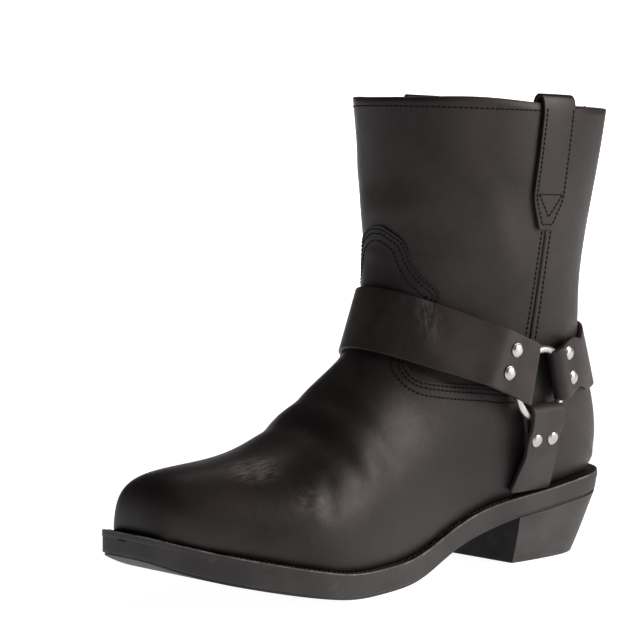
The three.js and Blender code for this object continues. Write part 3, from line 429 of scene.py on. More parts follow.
# Outsole: a moulded black rubber sole of about 9 mm, cut square at its edge, with a thin tread
# layer set back below it. It is cemented under the welt and runs on flush over the heel block.
RUBBER_DARK = (0.0215, 0.0208, 0.0206)
RUBBER_LIGHT = (0.040, 0.0385, 0.038)
TREAD_PITCH = 5.2 * MM
# Where the tread changes along the sole, in mm from the heel's back edge
TREAD_TOE = 284
TREAD_WAIST = 84
TREAD_BALL = 160
SOLE_TIP = 290
# Heights above the underside, and how far the tread's parts move, in mm
UNDERSIDE = 1.5
TREAD_LINE = 4.6
TOE_LIFT = 2.6
WAIST_DROP = 1.5
TREAD_DROP = 1.4


def sole_rubber(name, ribs=False):
    """Matt grey-black rubber with dust in the grain, and ribs across the underside when asked."""
    skin = Finish(name)
    cloud = skin.noise(0.03, detail=5)
    grit = skin.noise(0.0009, detail=3)
    rub = skin.noise(0.012, detail=6, roughness=0.7).between(0.58, 0.74)
    colour = skin.blend(cloud.between(0.34, 0.68), RUBBER_DARK, RUBBER_LIGHT)
    colour = skin.blend(rub * 0.35, colour, (0.085, 0.081, 0.079))
    lines = skin.noise(1.0, detail=2, spot=skin.stretched((12, 12, 900)))
    relief = skin.bump(grit, 0.00012, 0.6)
    relief = skin.bump(lines, 0.00010, 0.35, below=relief)
    if ribs:
        along = skin.coordinate("X")
        wave = (along * (2 * math.pi / TREAD_PITCH)).maths("SINE").between(-0.25, 0.25)
        facing = skin.node("ShaderNodeNewGeometry", out="Normal")
        down = skin.node("ShaderNodeSeparateXYZ", sockets={"Vector": facing}, out="Z") * -1
        relief = skin.bump(wave * down.between(0.75, 0.9), 0.0009, 1.0, below=relief)
    rough = 0.56 + cloud * 0.16
    return skin.close(Base_Color=colour, Roughness=rough, Normal=relief, Specular_IOR_Level=0.4)


def worn_and_highlit_edge():
    """The corner of the sole: pale scuffs and dust, and a painted highlight along it."""
    skin = Finish("worn_and_highlit_sole_edge")
    scuff = skin.noise(0.011, detail=7, roughness=0.75).between(0.40, 0.66)
    colour = skin.blend(scuff, (0.055, 0.052, 0.050), (0.20, 0.19, 0.185))
    return skin.close(Base_Color=colour, Roughness=0.62, Normal=skin.bump(scuff, 0.0002, 0.5))


WORN_AND_HIGHLIT_EDGE = worn_and_highlit_edge()


def outline_edges(piece, height=None):
    """Edges of a sole layer's top or bottom rim, told by a function of their two ends."""
    rims = {}
    for face in piece.data.polygons:
        level = abs(face.normal.z) > 0.6
        for key in face.edge_keys:
            rims.setdefault(key, []).append((level, face.normal.z > 0))
    points = piece.data.vertices
    found = set()
    for (i, j), sides in rims.items():
        kinds = {level for level, _ in sides}
        up = any(level and above for level, above in sides)
        if len(kinds) == 2 and (height is None or up == (height == "top")):
            found.add((tuple(points[i].co), tuple(points[j].co)))
    return lambda a, b: (tuple(a), tuple(b)) in found or (tuple(b), tuple(a)) in found


def smooth_outline(piece):
    """Rounds a layer's outline, with its rims and corners left crisp."""
    normals = {}
    for face in piece.data.polygons:
        for key in face.edge_keys:
            normals.setdefault(key, []).append(face.normal)
    store = piece.data.attributes.new("crease_edge", "FLOAT", "EDGE")
    for edge in piece.data.edges:
        sides = normals.get(edge.key, [])
        sharp = len(sides) == 2 and sides[0].angle(sides[1], 0.0) > math.radians(38)
        store.data[edge.index].value = 1.0 if sharp else 0.0
    round_over(piece, 2)


# The back of the boot's bottom slopes in below the ledge: heights in mm where that starts and ends
RAKE_TOP = 38
RAKE_END = 25
RAKE = 0.056
BREAST = 79.5


def rake_in(piece):
    """Slopes a sole layer in at the heel, below the ledge."""
    shape = points_of(piece)
    x = (shape[:, 0] - HEEL_EDGE) / MM
    deep = np.clip((RAKE_TOP - shape[:, 2] / MM) / (RAKE_TOP - RAKE_END), 0, 1)
    back = np.clip((BREAST - x) / BREAST, 0, 1)
    shape[:, 0] += RAKE * BREAST * back * deep * MM
    shape[:, 1] *= 1 - 0.03 * deep * np.minimum(1, back * 2)
    move_points(piece, shape)


def surface_of(*pieces):
    """One surface of several finished pieces, to find points on."""
    points, faces = [], []
    for piece in pieces:
        start = len(points)
        points += [v.co.copy() for v in piece.data.vertices]
        faces += [[i + start for i in face.vertices] for face in piece.data.polygons]
    return BVHTree.FromPolygons(points, faces)


outsole = copy_of("outsole", "rubber_outsole")
shape = points_of(outsole)
underside = surface_of(outsole)
for i, (x, y, z) in enumerate(shape):
    below = underside.ray_cast(Vector((x * 0.97, y * 0.85, -0.05)), Vector((0, 0, 1)))[0].z
    far = (x - HEEL_EDGE) / MM
    toe = min(1.0, max(0.0, (far - TREAD_TOE) / 20))
    waist = min(1.0, max(0.0, (far - TREAD_WAIST) / 12)) * min(1.0, max(0.0, (TREAD_BALL - far) / 26))
    if z - below < (UNDERSIDE + 1.2 * toe) * MM:
        shape[i, 2] += (TOE_LIFT * toe - WAIST_DROP * waist) * MM
    elif z - below < TREAD_LINE * MM:
        shape[i, 2] -= (TREAD_DROP * (1 - toe) * (1 - waist) + WAIST_DROP * waist) * MM
move_points(outsole, shape)
top_of_sole = {}
for vertex in outsole.data.vertices:
    key = (round(vertex.co.x, 5), round(vertex.co.y, 5))
    top_of_sole[key] = max(top_of_sole.get(key, -1), vertex.co.z)
for i, vertex in enumerate(outsole.data.vertices):
    key = (round(vertex.co.x, 5), round(vertex.co.y, 5))
    if vertex.co.z == top_of_sole[key] and vertex.co.z > 5 * MM:
        lift = 0.9 if vertex.co.x > place(SOLE_TIP, 0, 0).x else 0.32
        shape[i] = (vertex.co.x * 0.9985, vertex.co.y * 0.9985, vertex.co.z + lift * MM)
move_points(outsole, shape)
rake_in(outsole)
smooth_outline(outsole)
dress(outsole, sole_rubber("outsole_rubber", ribs=True), WORN_AND_HIGHLIT_EDGE)
rims = outline_edges(outsole, "bottom")
front = place(BREAST + 1, 0, 0).x
# The bottom rim ahead of the heel takes the pale edge: wear and a painted highlight
soften(outsole, lambda a, b: rims(a, b) and min(a.x, b.x) > front, 0.45 * MM, worn_lit_slot=1)
shade(outsole, 40)
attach(outsole, "root")
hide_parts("outsole")


# Heel: a stacked heel of about 30 mm, raked in at the back, with a straight breast in front. It
# is built up in black lifts, sanded flush with the sole, and ends below in a rubber top piece.
LIFT = 5.0 * MM


def heel_stack():
    """Black-stained lifts: fine level lines, a dark joint between each two lifts and a buffed face."""
    skin = Finish("heel_stack")
    height = skin.coordinate("Z")
    cloud = skin.noise(0.02, detail=5)
    lines = skin.noise(1.0, detail=2, spot=skin.stretched((22, 22, 1400)))
    rub = skin.noise(0.014, detail=6, roughness=0.7).between(0.56, 0.72)
    colour = skin.blend(cloud.between(0.34, 0.68), (0.024, 0.0228, 0.0225), (0.046, 0.0435, 0.0425))
    colour = skin.blend(lines.between(0.50, 0.72) * 0.30, colour, (0.070, 0.066, 0.064))
    colour = skin.blend(rub * 0.25, colour, (0.090, 0.085, 0.083))
    step = (height * (1 / LIFT)).maths("FRACT").between(0.0, 0.07)
    colour = skin.blend(0.35 - step * 0.35, colour, (0.008, 0.008, 0.008))
    relief = skin.bump(lines + step * 0.8, 0.00022, 0.5)
    relief = skin.bump(skin.noise(0.0008, detail=2), 0.0001, 0.4, below=relief)
    rough = 0.52 + cloud * 0.16
    return skin.close(Base_Color=colour, Roughness=rough, Normal=relief, Specular_IOR_Level=0.4)


def painted_shade_rubber():
    """Black rubber painted darker as shade, on the heel's breast under the arch and on the welt's ledge."""
    skin = Finish("painted_shade_rubber")
    cloud = skin.noise(0.012, detail=5)
    colour = skin.blend(cloud.between(0.35, 0.7), (0.0060, 0.0055, 0.0054), (0.0150, 0.0140, 0.0136))
    return skin.close(Base_Color=colour, Roughness=0.7, Specular_IOR_Level=0.2,
                      Normal=skin.bump(skin.noise(0.0009), 0.0001, 0.5))


PAINTED_SHADE_RUBBER = painted_shade_rubber()
heel = copy_of("heel", "stacked_heel")
shape = points_of(heel)
for i, vertex in enumerate(heel.data.vertices):
    if vertex.co.z > 21 * MM:
        shape[i, 2] += 0.35 * MM
move_points(heel, shape)
rake_in(heel)
smooth_outline(heel)
# The breast, which faces the toe under the arch, takes the near-black material as painted shade
for face in heel.data.polygons:
    face.material_index = 2 if face.normal.x > 0.8 else 0
dress(heel, heel_stack(), WORN_AND_HIGHLIT_EDGE, PAINTED_SHADE_RUBBER)
# The bottom rim takes the pale edge: wear and a painted highlight
soften(heel, outline_edges(heel, "bottom"), 0.5 * MM, worn_lit_slot=1)
shade(heel, 35)
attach(heel, "root")
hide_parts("heel")


# Welt: a flat black strip round the whole boot between upper and outsole, 3.4 mm thick. Its
# ledge carries a row of waxed stitches, from the heel seat forward, that holds the sole on.
welt = copy_of("welt", "sewn_welt")
rake_in(welt)
smooth_outline(welt)
# The ledge's top, under the upper's overhang, takes the near-black material as painted shade
for face in welt.data.polygons:
    face.material_index = 2 if face.normal.z > 0.8 else 0
dress(welt, sole_rubber("welt_rubber"), WORN_AND_HIGHLIT_EDGE, PAINTED_SHADE_RUBBER)
# The top rim takes the pale edge: wear and a painted highlight along the sole's top corner
soften(welt, outline_edges(welt, "top"), 0.7 * MM, worn_lit_slot=1)
shade(welt, 40)
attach(welt, "root")
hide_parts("welt")


def from_outside(surface, hub, away):
    """The outermost point of a surface on a line from a hub, and the direction that faces out."""
    spot, normal, _, _ = surface.ray_cast(hub + away * 0.4, -away)
    if normal.dot(away) < 0:
        normal = -normal
    return spot, normal


def evenly(points, pitch):
    """The same line with points at an even pitch."""
    run = [0.0]
    for a, b in zip(points, points[1:]):
        run.append(run[-1] + (b - a).length)
    count = max(2, round(run[-1] / pitch))
    line, k = [], 1
    for n in range(count + 1):
        want = run[-1] * n / count
        while k < len(points) - 1 and run[k] < want:
            k += 1
        t = (want - run[k - 1]) / max(1e-9, run[k] - run[k - 1])
        line.append(points[k - 1].lerp(points[k], min(1, t)))
    return line


def thread(name, tone, gloss):
    """Waxed thread with its twist."""
    skin = Finish(name)
    twist = skin.noise(0.0007, detail=2)
    colour = skin.blend(twist.between(0.3, 0.7), tuple(c * 0.5 for c in tone), tone)
    relief = skin.bump(twist, 0.0001, 0.6)
    return skin.close(Base_Color=colour, Roughness=gloss, Normal=relief, Specular_IOR_Level=0.15)


def face_outward(piece, weld=0.0):
    """Joins points closer than a distance and turns every face outward."""
    only(piece)
    bpy.ops.object.mode_set(mode="EDIT")
    bpy.ops.mesh.select_all(action="SELECT")
    if weld:
        bpy.ops.mesh.remove_doubles(threshold=weld)
    bpy.ops.mesh.normals_make_consistent(inside=False)
    bpy.ops.object.mode_set(mode="OBJECT")


def piece_from(name, points, faces, weld=0.0):
    """A new piece made of points and faces."""
    mesh = bpy.data.meshes.new(name)
    mesh.from_pydata(points, [], faces)
    piece = bpy.data.objects.new(name, mesh)
    bpy.context.scene.collection.objects.link(piece)
    face_outward(piece, weld)
    return piece


def sew(name, lines, surface, pitch, width, material, sink=0.25, fill=0.78):
    """Rows of short stitches that follow lines on a surface, joined in one piece."""
    ring = 6
    shape = [(-0.5, 0.0), (-0.42, 0.8), (-0.15, 1.0), (0.15, 1.0), (0.42, 0.8), (0.5, 0.0)]
    points, faces = [], []
    for line in lines:
        even = evenly(line, pitch)
        spots = [surface.find_nearest(p) for p in even]
        for a, b in zip(spots, spots[1:]):
            middle = (a[0] + b[0]) / 2
            up = (a[1] + b[1]).normalized()
            if up.dot(middle - core_point(middle)) < 0 and name != "welt_stitches":
                up = -up
            along = b[0] - a[0]
            if along.length < pitch * 0.4 or along.length > pitch * 1.8:
                continue
            across = up.cross(along).normalized()
            start = len(points)
            for share, size in shape:
                for k in range(ring):
                    angle = 2 * math.pi * k / ring
                    radius = width / 2 * size
                    offset = across * math.cos(angle) * radius + up * math.sin(angle) * radius
                    points.append(middle + along * (share * fill) + offset + up * (width * (0.5 - sink)))
            for row in range(len(shape) - 1):
                for k in range(ring):
                    j = (k + 1) % ring
                    first = start + row * ring
                    faces.append((first + k, first + j, first + ring + j, first + ring + k))
    piece = piece_from(name, points, faces, weld=0.001 * MM)
    piece.data.materials.append(material)
    bpy.ops.object.shade_smooth()
    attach(piece, "root")
    return piece


WELT_STITCH_INSET = 2.6 * MM
WELT_STITCH_PITCH = 2.9 * MM
WELT_STITCH_END = 84


def welt_line(piece, inset):
    """A closed line on top of the welt at an inset from its edge."""
    centre = place(150, 0, 0)
    rows = []
    surface = surface_of(piece)
    outline = {}
    for vertex in piece.data.vertices:
        angle = math.atan2(vertex.co.y, (vertex.co.x - centre.x) * 0.35)
        far = math.hypot(vertex.co.y, (vertex.co.x - centre.x) * 0.35)
        key = round(angle * 60)
        if key not in outline or far > outline[key][0]:
            outline[key] = (far, vertex.co.copy())
    ordered = [outline[key][1] for key in sorted(outline)]
    flat = [Vector((p.x, p.y, 0)) for p in ordered]
    count = len(flat)
    for i, p in enumerate(flat):
        along = flat[(i + 1) % count] - flat[i - 1]
        inward = Vector((-along.y, along.x, 0)).normalized()
        q = p + inward * inset
        spot = surface.ray_cast(Vector((q.x, q.y, 0.09)), Vector((0, 0, -1)))[0]
        if spot is not None:
            rows.append(spot)
    return rows + rows[:1]


WELT_THREAD = thread("waxed_thread", (0.044, 0.040, 0.038), 0.65)
welt_row = [p for p in welt_line(welt, WELT_STITCH_INSET) if p.x > place(WELT_STITCH_END, 0, 0).x]
sew("welt_stitches", [welt_row], surface_of(welt), WELT_STITCH_PITCH, 0.8 * MM, WELT_THREAD,
    sink=0.35)


# Vamp: a second layer of the same leather, 1.3 mm thick, that covers the toe, the foot's sides
# and a curved tongue up the front of the ankle. It is sewn down with double rows along its edge.
OVERLAY = 1.3 * MM


def smooth_line(points, steps=8):
    """A soft curve through a few points."""
    found = [Vector(p) for p in points]
    last = len(found) - 1
    line = []
    for i in range(last):
        a, b, c, d = (found[min(max(i + k, 0), last)] for k in (-1, 0, 1, 2))
        for step in range(steps):
            t = step / steps
            line.append(0.5 * (2 * b + (c - a) * t + (2 * a - 5 * b + 4 * c - d) * t ** 2
                               + (3 * b - a - 3 * c + d) * t ** 3))
    return line + [found[-1]]


# Side edge of the vamp from the ring forward to the neck, seen from the side: x and z in mm
SIDE_EDGE = [(80, 93.8), (97, 94.3), (107.2, 96.0), (128.3, 98.7), (141.2, 101.0), (145.6, 102.9),
             (147.3, 105.7), (148.0, 108.7), (147.7, 112.7)]
# Edge of the tongue from its peak down to the neck, seen from the front: y and z in mm
TONGUE_EDGE = [(0, 178.4), (4.4, 178.3), (9.1, 176.0), (14.9, 171.8), (17.4, 166.4), (19.0, 160.3),
               (22.1, 153.9), (25.7, 148.5), (27.6, 144.6), (27.0, 139.1), (24.0, 130.1),
               (22.6, 119.8), (24.3, 112.0)]


def prism(name, outline, across, deep):
    """A closed solid from an outline drawn in the XZ or the YZ plane."""
    low, high = deep
    count = len(outline)
    points = []
    for depth in (low, high):
        for a, b in outline:
            points.append(Vector((a, depth, b)) if across == "Y" else Vector((depth, a, b)))
    faces = [tuple(range(count)), tuple(range(2 * count - 1, count - 1, -1))]
    faces += [(i, (i + 1) % count, count + (i + 1) % count, count + i) for i in range(count)]
    return piece_from(name, points, faces)


def outer_skin(piece, name):
    """An open copy of a hollow piece's outer faces alone."""
    skin = bpy.data.objects.new(name, piece.data.copy())
    bpy.context.scene.collection.objects.link(skin)
    only(skin)
    bpy.ops.object.mode_set(mode="EDIT")
    bpy.ops.mesh.select_all(action="DESELECT")
    bpy.ops.object.mode_set(mode="OBJECT")
    for face in skin.data.polygons:
        face.select = face.material_index != 0 or face.normal.z < -0.8
    bpy.ops.object.mode_set(mode="EDIT")
    bpy.ops.mesh.delete(type="FACE")
    bpy.ops.object.mode_set(mode="OBJECT")
    skin.data.materials.clear()
    return skin


vamp = outer_skin(upper, "sewn_vamp")
finish_with(vamp, "SOLIDIFY", thickness=OVERLAY, offset=1.0, use_even_offset=True, use_rim=True)
side = [(p.x, p.y) for p in smooth_line([(x, z, 0) for x, z in SIDE_EDGE])]
side_outline = [(HEEL_EDGE + x * MM, z * MM) for x, z in side]
beyond, behind = HEEL_EDGE + 0.34, HEEL_EDGE + 0.08
side_outline += [(beyond, 0.1127), (beyond, -0.01), (behind, -0.01)]
half = [(p.x, p.y) for p in smooth_line([(-4.4, 178.3, 0)] + [(y, z, 0) for y, z in TONGUE_EDGE])][8:]
front_outline = [(y * MM, z * MM) for y, z in half] + [(-y * MM, z * MM) for y, z in half[:0:-1]]
side_cutter = prism("side_cutter", side_outline, "Y", (-0.09, 0.09))
front_cutter = prism("front_cutter", front_outline, "X", (HEEL_EDGE + 0.1, HEEL_EDGE + 0.36))
finish_with(side_cutter, "BOOLEAN", operation="UNION", object=front_cutter, solver="EXACT")
finish_with(vamp, "BOOLEAN", operation="INTERSECT", object=side_cutter, solver="EXACT")
for cutter in (side_cutter, front_cutter):
    bpy.data.objects.remove(cutter)


def dyed_and_shaded_edge():
    """The vamp's cut edge, dyed black, and painted dark as the shade line along the vamp's edge."""
    skin = Finish("dyed_and_shaded_edge")
    cloud = skin.noise(0.004, detail=4)
    colour = skin.blend(cloud.between(0.3, 0.7), (0.0050, 0.0042, 0.0040), (0.0110, 0.0090, 0.0086))
    return skin.close(Base_Color=colour, Roughness=0.8, Specular_IOR_Level=0.15)


# Vamp tones: the upper's leather painted darker, as painted shade over the whole vamp
VAMP_DARK = (0.0085, 0.0068, 0.0065)
VAMP_LIGHT = (0.0195, 0.0160, 0.0154)
# Painted highlight in brushed streaks on the toe, a rubbed patch on the side: place, reach, streaks and
# colour
VAMP_HIGHLIGHT_AND_RUB = [
    (place(243, 20, 66), (0.019, 0.018, 0.014), (110, 620, 620), (0.135, 0.124, 0.120)),
    (place(226, 44, 50), (0.014, 0.014, 0.010), (160, 160, 300), (0.050, 0.045, 0.043)),
]
VAMP_LEATHER = oiled_leather("vamp_leather", VAMP_DARK, VAMP_LIGHT, 0.49, 1.0, VAMP_HIGHLIGHT_AND_RUB)
vamp.data.materials.clear()
dress(vamp, VAMP_LEATHER, dyed_and_shaded_edge())
# The cut walls high on the vamp take the dark edge: black dye, and painted shade along the edge
for face in vamp.data.polygons:
    facing = face.normal.dot((face.center - core_point(face.center)).normalized())
    face.material_index = 1 if face.center.z > 88 * MM and facing < 0.6 else 0
shade(vamp, 38)
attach(vamp, "root")
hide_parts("vamp")


# Rings: one at each ankle, a welded ring of 4 mm nickel-plated wire, 40 mm across, that lies
# nearly flat on the boot. Three folded straps hold it, to the front, to the heel and to the arch.
RING_DIAMETER = 40 * MM
RING_WIRE = 4 * MM
RING_LEAN = math.radians(4)
RING_TURN = math.radians(6)


def nickel(name, tone, gloss):
    """Plated metal with a brushed grain, a little dulled in places."""
    skin = Finish(name)
    smear = skin.noise(0.006, detail=5)
    scratch = skin.noise(0.0009, detail=3)
    colour = skin.blend(smear.between(0.42, 0.72), tone, tuple(c * 0.78 for c in tone))
    rough = gloss + (smear - 0.5) * 0.22 + (scratch - 0.5) * 0.12
    relief = skin.bump(scratch, 0.00006, 0.4)
    return skin.close(Base_Color=colour, Metallic=1.0, Roughness=rough, Normal=relief)


RING_METAL = nickel("ring_nickel", (0.56, 0.545, 0.53), 0.30)


class RingFrame:
    """The centre and the outward, upward and forward directions of one ankle's ring."""

    def __init__(self, word, side):
        low, high = (Vector(corner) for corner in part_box("ring_" + word))
        level = Vector((-math.sin(RING_TURN), side * math.cos(RING_TURN), 0))
        up = Vector((0, 0, 1))
        self.word = word
        self.side = side
        self.centre = (low + high) / 2
        self.fore = Vector((math.cos(RING_TURN), side * math.sin(RING_TURN), 0))
        self.out = level * math.cos(RING_LEAN) - up * math.sin(RING_LEAN)
        self.up = level * math.sin(RING_LEAN) + up * math.cos(RING_LEAN)

    def directions(self, ahead, slope):
        """Along a strap that leaves the ring at a slope, and across its width."""
        along = self.fore * (ahead * math.cos(slope)) + self.up * math.sin(slope)
        across = self.fore * (-ahead * math.sin(slope)) + self.up * math.cos(slope)
        return along, across


RINGS = [RingFrame("outer", 1), RingFrame("inner", -1)]
for ring in RINGS:
    bpy.ops.mesh.primitive_torus_add(major_radius=(RING_DIAMETER - RING_WIRE) / 2, minor_radius=RING_WIRE / 2,
                                     major_segments=96, minor_segments=24)
    piece = bpy.context.object
    piece.name = "ankle_ring_" + ring.word
    turn = Matrix((ring.fore, ring.up, ring.out)).transposed().to_4x4()
    piece.data.transform(Matrix.Translation(ring.centre) @ turn)
    bpy.ops.object.shade_smooth()
    piece.data.materials.append(RING_METAL)
    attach(piece, "root")
    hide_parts("ring_" + ring.word)


# Harness straps: bands of firm black leather, 2.4 mm thick with dyed edges. Each goes round a
# ring's wire, doubles back under itself and is held by two tubular rivets through both layers.
STRAP = 2.4 * MM
STRAP_WIDTH = 33 * MM
INSTEP_FOLD_WIDTH = 31 * MM
HEEL_FOLD_WIDTH = 28 * MM
FOLD_RADIUS = RING_WIRE / 2 + 0.3 * MM + STRAP / 2
RETURN_WIDTH = 0.78
COLUMNS = 7
# Rubbed bands across the instep strap, the first also a painted highlight: place, reach, streaks and colour
STRAP_RUBS_AND_HIGHLIGHT = [
    (place(135, 28, 130), (0.0085, 0.012, 0.026), (380, 380, 70), (0.070, 0.063, 0.061)),
    (place(112, 38, 118), (0.020, 0.012, 0.014), (120, 120, 260), (0.050, 0.045, 0.043)),
]
STRAP_DARK = (0.0160, 0.0134, 0.0129)
STRAP_LIGHT = (0.0400, 0.0338, 0.0326)
STRAP_LEATHER = oiled_leather("strap_leather", STRAP_DARK, STRAP_LIGHT, 0.51, 0.8, STRAP_RUBS_AND_HIGHLIGHT)
BOOT = surface_of(upper, vamp)


def fold_profile(start, rivet, until):
    """Centre line of a folded end: back along the return layer, round the wire and out again."""
    low = -FOLD_RADIUS
    bend = start + FOLD_RADIUS
    path = [(rivet + 4.5 * MM, low), (rivet, low + 0.15 * MM), (rivet - 5 * MM, low + 0.1 * MM), (bend, low)]
    for k in range(1, 6):
        angle = math.radians(270 - 30 * k)
        path.append((bend + FOLD_RADIUS * math.cos(angle), FOLD_RADIUS * math.sin(angle)))
    path += [(bend, FOLD_RADIUS), (rivet - 6.5 * MM, FOLD_RADIUS - 0.5 * MM), (rivet - 3 * MM, 1.4 * MM)]
    path += [(rivet + 1 * MM, 0.1 * MM), (rivet + 5 * MM, -0.6 * MM), (until, low + STRAP + 0.1 * MM)]
    return path


def fold_rows(ring, along, across, fold, width, shift=0.0, skew=0.0):
    """Rows of points through a folded end, with its fold line turned by a skew."""
    start, rivet, until = fold
    columns = []
    for k in range(COLUMNS):
        side = width * (k / (COLUMNS - 1) - 0.5)
        points = fold_profile(start + skew * side, rivet, until)
        column = []
        for step, (u, n) in enumerate(points):
            narrow = RETURN_WIDTH if step < 3 else 1.0
            column.append(ring.centre + along * u + ring.out * n + across * (shift + side * narrow))
        columns.append(column)
    return [list(row) for row in zip(*columns)]


def taut(cells, first, last):
    """Lifts a sheet's cells off the boot until it is pulled straight between its high places."""
    count = len(cells)

    def spot(i, k):
        origin, away, far = cells[i][k]
        return origin + away * far

    for _ in range(80):
        for i in range(count):
            for k in range(COLUMNS):
                origin, away, far = cells[i][k]
                before = spot(i - 1, k) if i else first[k]
                after = spot(i + 1, k) if i < count - 1 else (last[k] if last else None)
                if after is not None:
                    far = max(far, ((before + after) / 2 - origin).dot(away))
                if 0 < k < COLUMNS - 1:
                    far = max(far, ((spot(i, k - 1) + spot(i, k + 1)) / 2 - origin).dot(away))
                cells[i][k][2] = far
    return [[spot(i, k) for k in range(COLUMNS)] for i in range(count)]


def ribbon(name, rows, thick, material, edge=0.55 * MM, levels=2):
    """A leather band through rows of points on its centre, with softly rounded edges."""
    bpy.ops.mesh.primitive_grid_add(x_subdivisions=len(rows[0]) - 1, y_subdivisions=len(rows) - 1, size=1)
    piece = bpy.context.object
    piece.name = name
    move_points(piece, [tuple(point) for row in rows for point in row])
    round_over(piece, levels)
    finish_with(piece, "SOLIDIFY", thickness=thick, offset=0.0, use_even_offset=True)
    finish_with(piece, "BEVEL", width=edge, segments=3, limit_method="ANGLE", angle_limit=math.radians(60))
    piece.data.materials.clear()
    dress(piece, material)
    face_outward(piece)
    shade(piece, 50)
    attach(piece, "root")
    return piece


def outer_distance(surface, origin, away, clear):
    spot = surface.ray_cast(origin + away * 0.3, -away)[0]
    return (spot - origin).dot(away) + clear


def round_strap(name, ahead, slope, fold_slope, fold, fold_width, shift, skew, rise, steps, clear):
    """A strap from one ring to the other, round the boot's front (ahead 1) or its back (-1).

    The fold gives, in mm from the ring's centre, where the strap turns back, its rivets' middle
    and where the folded part ends.
    """
    fold = [value * MM for value in fold]
    tilt = math.radians(slope)
    along = Vector((ahead * math.cos(tilt), 0, math.sin(tilt)))
    across = Vector((-ahead * math.sin(tilt), 0, math.cos(tilt)))
    hub = Vector((RINGS[0].centre.x, 0, RINGS[0].centre.z)) + along * 6 * MM
    cells = []
    for i in range(steps + 1):
        angle = math.radians(52) * (1 - 2 * i / steps)
        away = along * math.cos(angle) + Vector((0, math.sin(angle), 0))
        inward = min(i, steps - i)
        release = min(1.0, inward / (0.28 * steps))
        release = release * release * (3 - 2 * release)
        width = fold_width + (STRAP_WIDTH - fold_width) * release
        lift = STRAP * max(0.0, 1 - inward / (0.10 * steps))
        row = []
        for k in range(COLUMNS):
            height = width * (k / (COLUMNS - 1) - 0.5) + rise * release + shift * (1 - release)
            origin = hub + across * height
            far = outer_distance(BOOT, origin, away, clear + STRAP / 2 + lift)
            row.append([origin, away, far])
        cells.append(row)
    ends = []
    for ring in RINGS:
        along, across = ring.directions(ahead, math.radians(fold_slope))
        ends.append(fold_rows(ring, along, across, fold, fold_width, shift, skew))
    middle = taut(cells, ends[0][-1], ends[1][-1])
    rows = ends[0] + middle + ends[1][::-1]
    piece = ribbon(name, rows, STRAP, STRAP_LEATHER)
    return piece


instep_strap = round_strap("instep_band", ahead=1, slope=24, fold_slope=24, fold=(9.0, 27.5, 36),
                           fold_width=INSTEP_FOLD_WIDTH, shift=1.7 * MM, skew=0.24, rise=1.6 * MM,
                           steps=24, clear=0.35 * MM)
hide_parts("instep_strap")
heel_strap = round_strap("heel_band", ahead=-1, slope=9.5, fold_slope=18, fold=(11, 23, 31),
                         fold_width=HEEL_FOLD_WIDTH, shift=0.0, skew=0.0, rise=0.5 * MM,
                         steps=20, clear=0.3 * MM)
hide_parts("heel_strap")

ARCH_FOLD_WIDTH = 24 * MM
ARCH_FOOT_WIDTH = 31 * MM
ARCH_SHIFT = -3 * MM
ARCH_FOOT = 71
arch_straps = []
ledge = surface_of(welt)
for ring in RINGS:
    along, across = -ring.up, ring.fore
    until = 37 * MM
    top = ring.centre + along * until + across * ARCH_SHIFT
    fold = (11.4 * MM, 28.8 * MM, until)
    first = fold_rows(ring, along, across, fold, ARCH_FOLD_WIDTH, ARCH_SHIFT)
    away = Vector((0, ring.side, 0))
    cells = []
    for i in range(1, 8):
        share = i / 7
        width = ARCH_FOLD_WIDTH + (ARCH_FOOT_WIDTH - ARCH_FOLD_WIDTH) * share
        middle = top.x + (place(ARCH_FOOT, 0, 0).x - top.x) * share
        spread = [middle + width * (k / (COLUMNS - 1) - 0.5) for k in range(COLUMNS)]
        tops = [ledge.ray_cast(Vector((x, ring.side * 0.031, 0.09)), Vector((0, 0, -1)))[0] for x in spread]
        foot = max(spot.z for spot in tops) + 0.4 * MM
        row = []
        for x in spread:
            z = top.z + (foot - top.z) * share
            low = Vector((x, 0, max(z, foot + 1.5 * MM)))
            far = outer_distance(BOOT, low, away, 0.35 * MM + STRAP / 2 + STRAP * max(0.0, 1 - i / 2.5))
            row.append([Vector((x, 0, z)), away, far])
        cells.append(row)
    rows = first + taut(cells, first[-1], None)
    piece = ribbon("arch_band_" + ring.word, rows, STRAP, STRAP_LEATHER)
    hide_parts("arch_strap_" + ring.word)
    arch_straps.append(piece)


# Rivets: twelve domed tubular rivets of nickelled steel, 7.5 mm across. Two go through both
# layers of each folded strap end and hold the fold closed round the ring.
RIVET_RADIUS = 3.75 * MM
RIVET_DOME = 1.5 * MM
RIVET_METAL = nickel("rivet_nickel", (0.50, 0.485, 0.47), 0.33)
STRAPS = surface_of(instep_strap, heel_strap, *arch_straps)


def rivet_height(far):
    """Height of the head at a share of its radius: a dome with a small flat rim."""
    if far > 0.86:
        return 0.30 * math.sqrt(max(0.0, 1 - ((far - 0.86) / 0.14) ** 2))
    return 0.30 + 0.70 * math.sqrt(1 - (far / 0.9) ** 2) * (1 - 0.12 * (far / 0.9) ** 4)


